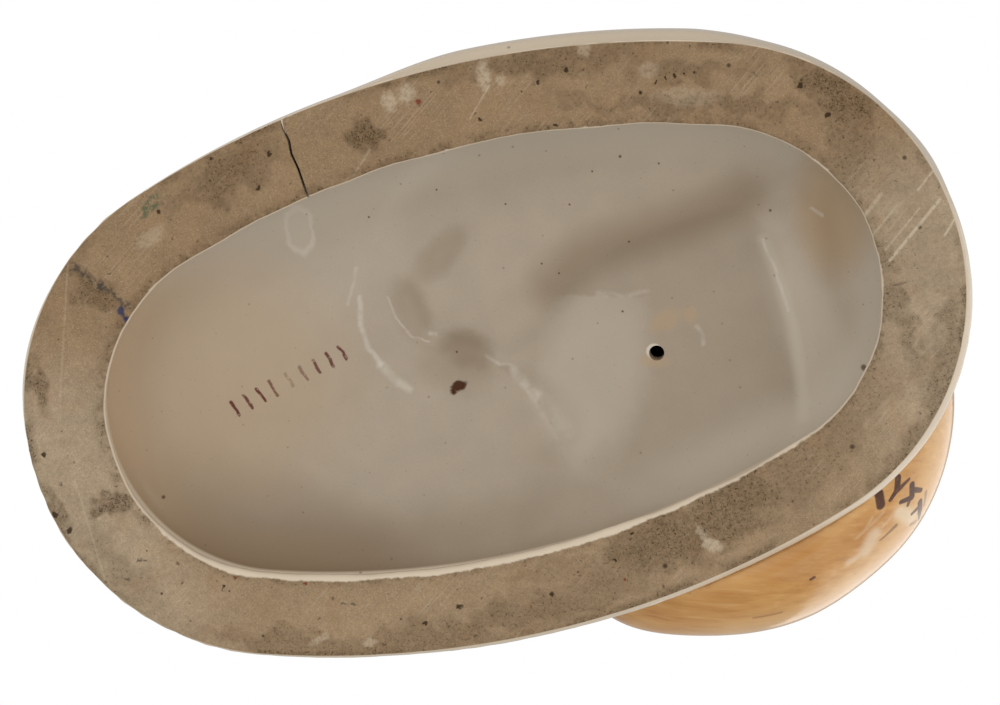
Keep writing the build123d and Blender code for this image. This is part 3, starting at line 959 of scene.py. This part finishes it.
def insideColour(flat, plane, across):
    g = creamGlaze
    x, y = partOf(plane, 1, 0), partOf(plane, 0, 1)
    shoved = shovedAbout(plane, flat, 2.2, 1.5)
    broad, middling, fine = noiseOf(flat, 24.0, 2.0), noiseOf(flat, 6.0, 3.0), noiseOf(flat, 0.5, 2.0, 0.7)
    paint = mottled(g["inside"], (broad, 0.10), (middling, 0.09), (fine, 0.10))

    # warmer along one end, partly gathered glaze and partly painted shade in the corner; painted shade
    # along the front near the lip, and painted light along the rest of the lip
    edge = easeOf(across, 25.0, 15.0)
    paint = layOver(paint, g["warm"], bothOf(edge, easeOf(x, 20.0, 62.0)), g["warmShare"])
    low = bothOf(easeOf(across, 29.0, 16.0), easeOf(y, -6.0, -32.0))
    paint = layOver(paint, g["shade"], bothOf(low, easeOf(x, -25.0, 45.0, 0.15, 1.0)), g["shadeShare"])
    rest = easeOf(partOf(plane, 0.6, -0.8), 24.0, 6.0)
    paint = layOver(paint, g["light"], bothOf(easeOf(across, 26.0, 16.5), rest), g["lightShare"])
    # painted shade and painted light in soft ovals, with warm and tan tints
    for colour, middle, size, turn, strength in g["paintedShadeLightAndTints"]:
        paint = layOver(paint, g[colour], ovalOf(plane, middle, size, turn, 0.9), strength)

    # painted shadow along the upper edge of the haunch's hollow, and a painted reflection in the hollow,
    # ragged along its upper edge
    paint = layOver(paint, g["shade"], brushOf(plane, g["shadowPath"], 8.0, 0.95), g["shadowShare"])
    paintedReflection = ovalOf(shoved, g["paintedReflection"], g["paintedReflectionSize"], g["paintedReflectionTurn"], 0.45)
    cut = easeOf(sideOf(shoved, *g["paintedReflectionCut"]), -0.3, 0.5)
    paint = layOver(paint, g["light"], bothOf(paintedReflection, cut), g["paintedReflectionShare"])
    # a painted highlight along the hollow's far ridge
    paint = layOver(paint, g["light"], brushOf(plane, g["ridgePath"], 2.2, 0.9), g["ridgeShare"])
    smudge = anyOf(ovalOf(shoved, *oval, 0.55) for oval in g["smudges"])
    paint = layOver(paint, g["warm"], smudge, g["smudgeShare"])
    # painted shade in the pockets of the roof
    for middle, size, turn, strength in g["paintedPocketShade"]:
        paint = layOver(paint, g["shade"], ovalOf(shoved, middle, size, turn, 0.95), strength)
    bent = shovedAbout(plane, flat, 2.6, 0.8)
    uneven = easeOf(noiseOf(flat, 2.2, 2.0, 0.6), 0.34, 0.62, 0.50, 1.0)
    # painted highlights along the crests, broken up unevenly
    for path, width, strength in g["highlightStreaks"]:
        paint = layOver(paint, g["crest"], bothOf(brushOf(bent, path, width, 0.9), uneven), strength)

    # a brown spot, a pale drip ring, pinholes
    spot = anyOf([ovalOf(shoved, *g["brownSpot"], 0.3), spotOf(shoved, *g["brownTail"])])
    paint = layOver(paint, g["brown"], spot)
    ring = ovalReach(shoved, *g["dripRing"])
    drip = easeOf(sumOf("ABSOLUTE", sumOf("SUBTRACT", ring, 0.85)), 0.55, 0.0)
    paint = layOver(paint, g["crest"], anyOf([drip, easeOf(ring, 1.0, 0.2, 0.0, 0.3)]), g["dripShare"])
    holes = anyOf(spotOf(plane, *hole, 0.45) for hole in g["pinholes"])
    small = sumOf("MULTIPLY", specksOf(flat, 7.0, 0.36, 0.15), 0.40)
    tiny = sumOf("MULTIPLY", specksOf(mapped(flat, (3.0, 8.0, 0.0)), 2.3, 0.35, 0.08), 0.25)
    paint = layOver(paint, g["pinhole"], anyOf([sumOf("MULTIPLY", holes, 0.85), small, tiny]))

    # a painted highlight on one side of the vent's rim, and warmer below it
    x, y = plinth["vent"]["place"]
    paint = layOver(paint, g["rim"], spotOf(plane, (x + 0.38, y + 0.42), 1.5, 0.12), g["rimShare"])
    warmBelowVent = ovalOf(plane, (x + 0.9, y - 1.4), (2.2, 0.9), 20.0, 0.8)
    paint = layOver(paint, g["warm"], warmBelowVent, g["smudgeShare"])

    # a workshop's tally: a row of faint strokes
    def tallyStroke(middle):
        ends = [(middle[0] + ahead, middle[1] + up) for ahead, up in g["tallyLean"]]
        return strokeOf(bent, *ends, g["tallyWidth"], 0.45)

    tally = strongest(g["tally"], tallyStroke)
    worn = easeOf(noiseOf(flat, 0.9, 2.0, 0.7), 0.22, 0.46)
    return layOver(paint, g["tallyRed"], bothOf(tally, worn), g["tallyShare"])


def wallColour(at):
    g = creamGlaze
    broad, fine = noiseOf(at, 18.0, 2.0, space="3D"), noiseOf(at, 1.2, 2.0, 0.6, space="3D")
    paint = mottled(g["wall"], (broad, 0.12), (fine, 0.06))
    specks = specksOf(at, 6.0, 0.35, 0.22, space="3D")
    return layOver(paint, g["pinhole"], specks, 0.5)


def plinthFinish():
    g = creamGlaze
    material, shader, at = startFinish("groundClayAndCreamGlaze")
    flat = mapped(at, (0, 0, 0), (1, 1, 1e6))
    plane = vectorOf("MULTIPLY", at, (1, 1, 0))
    across, inner, z = pointValue("across"), pointValue("inner"), partOf(at, 0, 0, 1)

    clayPaint = clayColour(flat, plane, across)
    insidePaint = insideColour(flat, plane, across)
    wallPaint = wallColour(at)
    insidePaint = layOver(insidePaint, g["lip"], easeOf(z, 3.2, 1.4))
    glazePaint = layOver(wallPaint, insidePaint, inner)

    # the glaze stops raggedly short of the ground face
    ragged = sumOf("ADD", noiseOf(flat, 1.3, 2.0, 0.5), sumOf("MULTIPLY", noiseOf(flat, 9.0, 1.0), 1.6))
    shift = sumOf("MULTIPLY_ADD", ragged, 0.55, -0.72)
    low = easeOf(z, 0.42, 0.22)
    # the pale lip is broadest along the front
    broad = easeOf(partOf(plane, 0.12, -0.99), 12.0, 44.0, -0.55, 0.45)
    toLip = sumOf("ADD", sumOf("ADD", across, shift), broad)
    onRing = easeOf(toLip, plinth["ring"] - 0.42, plinth["ring"] - 0.84)
    bare = bothOf(low, onRing, easeOf(across, 0.1, 0.35))
    paint = layOver(glazePaint, clayPaint, bare)
    # dirt drawn into the crack, from the wall to the lip
    crackLine = brushOf(plane, plinth["crack"]["path"], plinth["crack"]["width"], 0.35)
    paint = layOver(paint, g["crackDirt"], bothOf(crackLine, easeOf(z, 6.0, 3.0)), g["crackShare"])
    feed(shader.inputs["Base Color"], paint)
    feed(shader.inputs["Roughness"], easeOf(bare, 0.0, 1.0, g["roughness"], clay["rough"]))
    feed(shader.inputs["Specular IOR Level"], easeOf(bare, 0.0, 1.0, g["shine"], clay["shine"]))

    # open grain on the clay, a slow orange-peel on the glaze
    tooth = sumOf("ADD", noiseOf(flat, 0.34, 2.0, 0.7), noiseOf(flat, 0.9, 3.0, 0.7))
    clayBump = bumpOf(tooth, clay["tooth"], clay["toothDepth"])
    glazeBump = bumpOf(noiseOf(at, 5.0, 1.0, space="3D"), g["peel"], g["peelDepth"])
    normal = addNode("Mix", {0: bare, 4: glazeBump, 5: clayBump}, data_type="VECTOR")
    feed(shader.inputs["Normal"], normal.outputs[1])
    return material


plinthPiece = makePlinth()
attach(plinthPiece, "root")
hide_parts("plinth")
dress(plinthPiece, plinthFinish())
print("plinth dressed")

# The cat: the castings joined into one skin, as they are under the glaze
figure = dict(
    castings=[
        "body", "head", "left_ear", "right_ear", "right_foreleg", "left_foreleg", "right_hind_paw", "tail",
    ],
    grain=0.94, smoothing=6, creaseSmoothing=29,
    bodyStart=(-38.0, -22.0), bodyTurn=34.0, headMiddle=(13.0, 13.0, 92.0), headTurn=-42.0,
    # the middle lines of the tail and the legs, for their bands
    tail=[(-60, -4, 28), (-74, 12, 27), (-70, 28, 26), (-52, 39, 25), (-24, 43.5, 25), (0, 41, 25)],
    legs=[[(14, -12, 34), (30, -10, 29), (53, -8, 26)], [(18, 22, 36), (38, 20, 29), (60, 12, 26)]],
    limbReach=11.5, bodyBand=9.6, tailBand=10.5, legBand=8.4, bandSweep=0.22,
    flankLow=24.0, shoulderRise=12.0, flankFade=16.0,
    # middle, reach, push
    bulges=[((-12.0, -57.0, 20.0), 11.0, (1.6, -1.2, 0.0)), ((-52.0, -58.0, 20.0), 10.0, (0.5, 0.9, 0.0))],
)


def twinOf(piece):
    deselectAll()
    twin = piece.copy()
    twin.data = piece.data.copy()
    bpy.context.collection.objects.link(twin)
    return twin


def copyCasting(name):
    twin = twinOf(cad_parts[name])
    twin.name = "copyOf_" + name
    twin.parent = None
    for key in list(twin.keys()):
        del twin[key]
    makeActive(twin)
    bpy.ops.object.mode_set(mode="EDIT")
    bpy.ops.mesh.select_all(action="SELECT")
    bpy.ops.mesh.remove_doubles(threshold=0.00001)
    bpy.ops.object.mode_set(mode="OBJECT")
    return twin


def lineNear(points, line):
    # each point's distance to a line of stations, and how far along the line it is
    nearest, along, walked = np.full(len(points), np.inf), np.zeros(len(points)), 0.0
    for start, end in zip(line, line[1:]):
        start, run = np.array(start, float), np.array(end, float) - np.array(start, float)
        share = np.clip((points - start) @ run / (run @ run), 0.0, 1.0)
        away = np.linalg.norm(points - start - share[:, None] * run, axis=1)
        along = np.where(away < nearest, walked + share * np.linalg.norm(run), along)
        nearest = np.minimum(away, nearest)
        walked += np.linalg.norm(run)
    return nearest, along


def markBands(piece):
    # for the painting: where each band of the coat falls, and how strong it is
    f = figure
    points = pointsOf(piece)
    x, y, z = points.T
    turn = math.radians(f["bodyTurn"])
    ahead = (x - f["bodyStart"][0]) * math.cos(turn) + (y - f["bodyStart"][1]) * math.sin(turn)
    aside = (y - f["bodyStart"][1]) * math.cos(turn) - (x - f["bodyStart"][0]) * math.sin(turn)
    phase = (ahead + f["bandSweep"] * np.abs(aside)) / f["bodyBand"]
    # on the back and down the flanks, less far down at the shoulder, and not on the chest or the head
    low = f["flankLow"] + f["shoulderRise"] * smoothStep(ahead, 8.0, 28.0)
    strength = smoothStep((z - low) / f["flankFade"], 0.0, 1.0)
    strength = strength * smoothStep(-ahead, -66.0, -52.0) * smoothStep(-z, -86.0, -76.0)
    for line, band in [(f["tail"], f["tailBand"])] + [(leg, f["legBand"]) for leg in f["legs"]]:
        near, along = lineNear(points, line)
        close = (near < f["limbReach"]) & (strength < 0.3)
        whole = sum(math.dist(a, b) for a, b in zip(line, line[1:]))
        ends = smoothStep(along, 5.0, 12.0) * smoothStep(whole - along, 3.0, 9.0)
        phase = np.where(close, along / band, phase)
        strength = np.where(close, ends * smoothStep(f["limbReach"] - near, 0.0, 2.0), strength)
    keepOnPoints(piece, bandPhase=phase, bandShare=strength)


def markCreases(piece):
    # for the glaze: how hollow or how proud the skin is at each point
    before = pointsOf(piece)
    twin = twinOf(piece)
    applyModifier(twin, "SMOOTH", factor=0.8, iterations=figure["creaseSmoothing"])
    after = pointsOf(twin)
    bpy.data.objects.remove(twin, do_unlink=True)
    normals = np.empty(len(before) * 3, np.float32)
    piece.data.vertices.foreach_get("normal", normals)
    keepOnPoints(piece, hollow=np.einsum("ij,ij->i", after - before, normals.reshape(-1, 3)))


def makeFigure():
    copies = [copyCasting(name) for name in figure["castings"]]
    deselectAll()
    for twin in copies:
        twin.select_set(True)
    bpy.context.view_layer.objects.active = copies[0]
    bpy.ops.object.join()
    piece = bpy.context.object
    piece.name = "catFigure"
    applyModifier(piece, "REMESH", mode="VOXEL", voxel_size=figure["grain"] * mm)
    applyModifier(piece, "SMOOTH", factor=0.5, iterations=figure["smoothing"])
    points = pointsOf(piece)
    for middle, reach, push in figure["bulges"]:
        near = np.linalg.norm(points - np.array(middle), axis=1) / reach
        points += np.exp(-near**2)[:, None] * np.array(push)
    setPoints(piece, points)
    bpy.ops.object.shade_smooth()
    markBands(piece)
    markCreases(piece)
    print("figure joined", len(piece.data.polygons))
    return piece


# The painting of the coat, under the same clear glaze
coat = dict(
    ochre=tone(198, 147, 84), deep=tone(166, 107, 50), light=tone(222, 181, 126), cream=tone(228, 212, 184),
    stripe=tone(86, 54, 36), mark=tone(78, 43, 24), pink=tone(206, 150, 130), dark=tone(46, 32, 26),
    iris=tone(166, 150, 66), irisEdge=tone(112, 104, 42), noseColour=tone(178, 104, 90),
    glintColour=tone(244, 240, 232), roughness=0.15, shine=0.3, ripple=0.3, rippleDepth=0.12,
    bristleSize=(11.0, 1.3, 2.2), bristleTurn=20.0,
    # how strongly: the brown and the pale strokes, the hollows and the proud places, the painted
    # reflections on the low edge and on the haunch
    deepStrokes=0.55, lightStrokes=0.50, broadLight=0.45, broadDeep=0.35, hollows=0.75, proud=0.35,
    lowEdgeReflectionShare=0.6, stripes=0.85, haunchReflectionShare=0.8, earPink=0.8, nosePink=0.9, eyeRim=0.95, irisRim=0.6,
    mouthShare=0.85,
    # middle, radius, strength
    creams=[
        ((32, -2, 50), 17, 0.85), ((34, -8, 62), 11, 0.7), ((60, -8.5, 24), 9, 0.8),
        ((67, 8.5, 24), 9, 0.8), ((22, -35, 22), 8, 0.7), ((3, 40.5, 25), 9, 0.8),
        ((26, 1.5, 85), 11, 0.9),
    ],
    # start, end, width, taper, strength
    haunchMarks=[
        ((-62.9, -44.9, 4.6), (-62.6, -47.3, 5.7), 2, 0, 1),
        ((-67, -43.2, 6.6), (-66.2, -45.5, 7.2), 1.5, 0, 1),
        ((-66.2, -45.5, 7.2), (-64.5, -47, 6.8), 1.3, 0.3, 1),
        ((-66.3, -45.6, 7.4), (-68.8, -44.4, 8.8), 1.2, 0.4, 0.95),
        ((-69, -45.8, 9.9), (-68.3, -48.3, 11.1), 1.5, 0, 1),
        ((-68.3, -48.3, 11.1), (-66.2, -48.3, 9), 1.3, 0.2, 1),
        ((-69, -47, 11), (-70.2, -47.8, 12.9), 1.3, 0.2, 0.95),
        ((-68.2, -48.4, 10.6), (-67.2, -49.6, 11), 1.2, 0.3, 0.9),
        ((-69.4, -50.2, 14.2), (-68.8, -52.5, 16.3), 1.5, 0, 0.95),
        ((-69.2, -51, 15), (-67.4, -51.9, 13.5), 1.3, 0.3, 0.9),
        ((-68.8, -52.5, 16.3), (-68.1, -54.3, 18.3), 1.2, 0.4, 0.9),
        ((-70.9, -48.8, 14.9), (-69.8, -51.6, 16.8), 1, 0.3, 0.5),
        ((-67.5, -54.3, 17.1), (-66.6, -54.3, 15.5), 1, 0, 0.5),
        ((-64, -52.9, 10.9), (-60.5, -54.7, 9.7), 1.1, 0.55, 0.6),
        ((-46.9, -57.7, 5.9), (-46.3, -57.9, 5.9), 0.8, 0, 0.9),
        ((-33.6, -63.3, 10.1), (-38.8, -63.7, 10.6), 0.8, 0.2, 0.35),
    ],
    # start, end, width, strength: painted reflections, laid as cream strokes
    haunchReflections=[
        ((-65.5, -50.3, 9.9), (-67.1, -52.8, 14.3), 3, 0.75),
        ((-59.8, -52.9, 7.7), (-57.4, -55.9, 8.8), 3.2, 0.6),
        ((-57.4, -55.9, 8.8), (-54, -57, 7.9), 1.8, 0.5),
        ((-64.2, -50.3, 8.8), (-61.6, -52.1, 8.2), 0.7, 0.25),
        ((-60.4, -49.2, 5.5), (-58.5, -51.2, 5.7), 0.7, 0.25),
        ((-62.5, -49, 6.8), (-56.5, -52.5, 5.2), 0.8, 0.25),
    ],
    # middle, radius, strength: painted shade low on the haunch, where it meets the plinth
    haunchPaintedShade=[
        ((-39.9, -52.3, 1.2), 5, 0.32), ((-28.8, -57.3, 5), 4.5, 0.12), ((-45.5, -53, 2.3), 5, 0.45),
    ],
    # on the face, across and up from its middle: strokes, then middles with half breadths and turns
    foreheadStrokes=[((0.0, 12.0), (0.0, 19.0)), ((4.2, 12.5), (5.6, 18.5)), ((8.6, 11.5), (10.6, 16.5))],
    cheekStrokes=[((15, -1.5), (21, 1)), ((14.5, -6), (20, -5)), ((13, -10), (18, -10.5))],
    mouth=[(0, -4.4), (0, -8.0), (2.6, -10.2), (6.2, -10.6), (8.4, -9.0)],
    whiskerDots=[(4.6, -5.6), (6.6, -5.2), (5.0, -7.6), (7.2, -7.4), (6.0, -9.2)],
    earInside=((17.6, 19.6), (6.4, 3.2), 68.0), nose=((0.0, -2.5), (3.3, 2.1), 0.0),
    eye=((9.7, 4.2), (4.3, 3.1), 12.0), pupil=((9.8, 4.2), (1.0, 2.5), 0.0), glint=((8.9, 5.6), 0.62),
    foreheadWidth=1.9, cheekWidth=1.7, mouthWidth=0.85, whiskerDot=0.42,
)


def figurePaint(at):
    c = coat
    z = partOf(at, 0, 0, 1)
    phase, share, hollow = pointValue("bandPhase"), pointValue("bandShare"), pointValue("hollow")
    bristle = noiseOf(mapped(at, (0, 0, 0), c["bristleSize"], c["bristleTurn"]), 1.0, 3.0, 0.6, space="3D")
    broad = noiseOf(at, 15.0, 2.0, space="3D")
    fine = noiseOf(at, 0.7, 2.0, 0.6, space="3D")

    # brushed ochre, thicker and browner in some strokes
    paint = layOver(c["ochre"], c["deep"], easeOf(bristle, 0.46, 0.74), c["deepStrokes"])
    paint = layOver(paint, c["light"], easeOf(bristle, 0.47, 0.26), c["lightStrokes"])
    paint = layOver(paint, c["light"], easeOf(broad, 0.50, 0.74), c["broadLight"])
    paint = layOver(paint, c["deep"], easeOf(broad, 0.46, 0.24), c["broadDeep"])
    paint = layOver(paint, c["deep"], easeOf(hollow, 0.10, 0.9), c["hollows"])
    paint = layOver(paint, c["light"], easeOf(hollow, -0.05, -0.6), c["proud"])
    # painted shade low on the haunch, by the plinth
    haunchShade = strongest(c["haunchPaintedShade"], lambda middle, radius: spotOf(at, middle, radius, 0.6))
    paint = layOver(paint, c["deep"], haunchShade)
    # painted reflection along the haunch's outermost low edge
    outermost = easeOf(partOf(at, -0.5, -0.87), 60.0, 76.0)
    lowEdgeReflection = bothOf(easeOf(z, 7.0, 14.0), easeOf(z, 26.0, 16.0), outermost)
    paint = layOver(paint, c["light"], lowEdgeReflection, c["lowEdgeReflectionShare"])

    # cream chest, muzzle, toes and tip of the tail, feathered out
    feather = sumOf("MULTIPLY_ADD", bristle, 0.6, 0.7)
    creams = strongest(c["creams"], lambda middle, radius: spotOf(at, middle, radius, 0.30))
    paint = layOver(paint, c["cream"], sumOf("MULTIPLY", creams, feather, clamp=True))

    # dark bands round the body, the legs and the tail
    swing = sumOf("MULTIPLY_ADD", noiseOf(at, 13.0, 2.0, space="3D"), 0.9, -0.45)
    wave = sumOf("SINE", sumOf("MULTIPLY", sumOf("ADD", phase, swing), 2 * math.pi))
    wave = sumOf("ADD", wave, sumOf("MULTIPLY_ADD", bristle, 0.8, -0.4))
    edge = sumOf("MULTIPLY_ADD", share, -0.62, 1.02)
    edge = sumOf("ADD", edge, sumOf("MULTIPLY_ADD", noiseOf(at, 7.0, 1.0, space="3D"), 1.3, -0.65))
    band = easeOf(sumOf("SUBTRACT", wave, edge), -0.05, 0.42)
    band = bothOf(band, easeOf(share, 0.02, 0.35), sumOf("MULTIPLY_ADD", fine, 0.6, 0.55, clamp=True))
    paint = layOver(paint, c["stripe"], band, c["stripes"])

    # painted reflections low on the haunch, laid as cream strokes, then brown brush marks
    reflections = strongest(c["haunchReflections"], lambda *stroke: strokeOf(at, *stroke, 0.7))
    paint = layOver(paint, c["cream"], reflections, c["haunchReflectionShare"])

    def haunchMark(start, end, width, taper):
        return strokeOf(at, start, end, width, 0.22, taper)

    thinness = sumOf("MULTIPLY_ADD", fine, 0.5, 0.75, clamp=True)
    return layOver(paint, c["mark"], bothOf(strongest(c["haunchMarks"], haunchMark), thinness))


def facePaint(at, paint):
    c, f = coat, figure
    turn = math.radians(f["headTurn"])
    fromHead = vectorOf("SUBTRACT", at, f["headMiddle"])
    ahead = partOf(fromHead, math.cos(turn), math.sin(turn))
    aside = partOf(fromHead, -math.sin(turn), math.cos(turn))
    up = partOf(fromHead, 0, 0, 1)
    face = addNode("CombineXYZ", {0: sumOf("ABSOLUTE", aside), 1: up}).outputs[0]
    front = bothOf(easeOf(ahead, 2.0, 6.0), easeOf(up, -19.0, -15.0))

    width = c["foreheadWidth"]
    forehead = anyOf(strokeOf(face, low, high, width, 0.4, 0.45) for low, high in c["foreheadStrokes"])
    width = c["cheekWidth"]
    cheeks = anyOf(strokeOf(face, outer, inner, width, 0.4, 0.55) for inner, outer in c["cheekStrokes"])
    forehead, cheeks = bothOf(forehead, easeOf(ahead, -4.0, 0.0)), bothOf(cheeks, easeOf(ahead, -3.0, 0.0))
    paint = layOver(paint, c["stripe"], anyOf([forehead, cheeks]), c["stripes"])

    # pink inside the ears and on the nose
    ears = bothOf(ovalOf(face, *c["earInside"], 0.25), easeOf(ahead, -1.2, 0.6))
    paint = layOver(paint, c["pink"], ears, c["earPink"])
    nose = bothOf(ovalOf(face, *c["nose"], 0.2), easeOf(ahead, 19.0, 21.0))
    paint = layOver(paint, c["noseColour"], nose, c["nosePink"])

    # eyes: a dark rim, an amber iris, a slit and a glint
    eye = ovalReach(face, *c["eye"])
    paint = layOver(paint, c["dark"], bothOf(easeOf(eye, 1.42, 1.18), front), c["eyeRim"])
    paint = layOver(paint, c["iris"], bothOf(easeOf(eye, 0.84, 0.70), front))
    irisRim = bothOf(easeOf(eye, 0.35, 0.80), easeOf(eye, 0.84, 0.70), front)
    paint = layOver(paint, c["irisEdge"], irisRim, c["irisRim"])
    pupil = ovalOf(face, *c["pupil"], 0.12)
    paint = layOver(paint, c["dark"], bothOf(pupil, front))
    glint = bothOf(spotOf(face, *c["glint"], 0.2), front)
    paint = layOver(paint, c["glintColour"], glint)

    # the mouth and the roots of the whiskers
    mouth = brushOf(face, c["mouth"], c["mouthWidth"], 0.3)
    dots = anyOf(spotOf(face, root, c["whiskerDot"], 0.25) for root in c["whiskerDots"])
    mouth = bothOf(anyOf([mouth, dots]), easeOf(ahead, 12.0, 14.0))
    return layOver(paint, c["dark"], mouth, c["mouthShare"])


def figureFinish():
    material, shader, at = startFinish("paintedCoatUnderGlaze")
    paint = facePaint(at, figurePaint(at))
    specks = specksOf(at, 5.0, 0.35, 0.2, space="3D")
    paint = layOver(paint, coat["stripe"], specks, 0.5)
    feed(shader.inputs["Base Color"], paint)
    shader.inputs["Roughness"].default_value = coat["roughness"]
    shader.inputs["Specular IOR Level"].default_value = coat["shine"]
    ripple = noiseOf(at, 4.0, 2.0, space="3D")
    feed(shader.inputs["Normal"], bumpOf(ripple, coat["ripple"], coat["rippleDepth"]))
    return material


figurePiece = makeFigure()
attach(figurePiece, "root")
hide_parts(*figure["castings"])
dress(figurePiece, figureFinish())
print("figure dressed")

# The stage: a pale floor that hides nothing from below, the world and the lamps
stage = dict(
    floorSize=3.0, floorColour=(0.86, 0.85, 0.83, 1.0), floorRoughness=0.9,
    ambient=0.50, ambientColour=(1.0, 0.985, 0.96, 1.0), aim=0.02,
    # name, way to the lamp as seen from below (across, up, towards the eye), distance, breadth, power
    lampsBelow=[
        ("keyBelow", (0.1, 0.45, 1.0), 1.5, 2.4, 10), ("leftBelow", (-0.8, 0.35, 0.8), 1.4, 1.6, 4.5),
        ("sparkBelow", (0.62, 0.42, 0.8), 1.3, 0.34, 0.9), ("sideBelow", (0.85, -0.6, 0.45), 1.4, 1.8, 7),
    ],
    # name, way to the lamp, distance, breadth, power
    lampsAbove=[
        ("keyAbove", (-0.8, -1, 0.9), 1.4, 1.5, 8), ("fillAbove", (0.9, 0.5, 0.9), 1.4, 1.5, 5),
    ],
)


def hangLamp(name, spot, target, breadth, power):
    bpy.ops.object.light_add(type="AREA", location=spot)
    lamp = bpy.context.object
    lamp.name = name
    lamp.data.shape = "SQUARE"
    lamp.data.size = breadth
    lamp.data.energy = power
    lamp.rotation_mode = "QUATERNION"
    lamp.rotation_quaternion = (target - spot).to_track_quat("-Z", "Y")


def lightStage():
    deselectAll()
    roll = math.radians(camera["roll"])
    right = Vector((-math.cos(roll), -math.sin(roll), 0))
    up = Vector((-math.sin(roll), math.cos(roll), 0))
    middle = footMiddle + Vector((0, 0, stage["aim"]))
    for name, (across, rise, near), distance, breadth, power in stage["lampsBelow"]:
        way = (right * across + up * rise - Vector((0, 0, near))).normalized()
        hangLamp(name, middle + way * distance, middle, breadth, power)
    for name, way, distance, breadth, power in stage["lampsAbove"]:
        hangLamp(name, middle + Vector(way).normalized() * distance, middle, breadth, power)


def setWorld():
    # white to the eye, and a soft warm grey to the object
    world = bpy.data.worlds.new("studioWorld")
    bpy.context.scene.world = world
    world.use_nodes = True
    world.node_tree.nodes.clear()
    building["tree"] = world.node_tree
    ambient = addNode("Background", {"Color": stage["ambientColour"], "Strength": stage["ambient"]})
    white = addNode("Background", {"Color": (1, 1, 1, 1)})
    seen = addNode("LightPath").outputs["Is Camera Ray"]
    mix = addNode("MixShader", {"Fac": seen, 1: ambient.outputs[0], 2: white.outputs[0]})
    addNode("OutputWorld", {"Surface": mix.outputs[0]})
    bpy.context.scene.view_settings.view_transform = "Standard"


def layFloor():
    # clear from below, and out of the way of the light
    deselectAll()
    bpy.ops.mesh.primitive_plane_add(size=stage["floorSize"], location=(0, 0, 0))
    floor = bpy.context.object
    floor.name = "studioFloor"
    material = bpy.data.materials.new("studioFloor")
    material.use_nodes = True
    building["tree"] = material.node_tree
    shader = material.node_tree.nodes["Principled BSDF"]
    shader.inputs["Base Color"].default_value = stage["floorColour"]
    shader.inputs["Roughness"].default_value = stage["floorRoughness"]
    below = addNode("NewGeometry").outputs["Backfacing"]
    clear = addNode("BsdfTransparent").outputs[0]
    mix = addNode("MixShader", {"Fac": below, 1: shader.outputs[0], 2: clear})
    feed(material.node_tree.nodes["Material Output"].inputs["Surface"], mix.outputs[0])
    dress(floor, material)
    for kind in ("shadow", "diffuse", "glossy", "transmission"):
        setattr(floor, "visible_" + kind, False)


lightStage()
setWorld()
layFloor()
print("stage set")
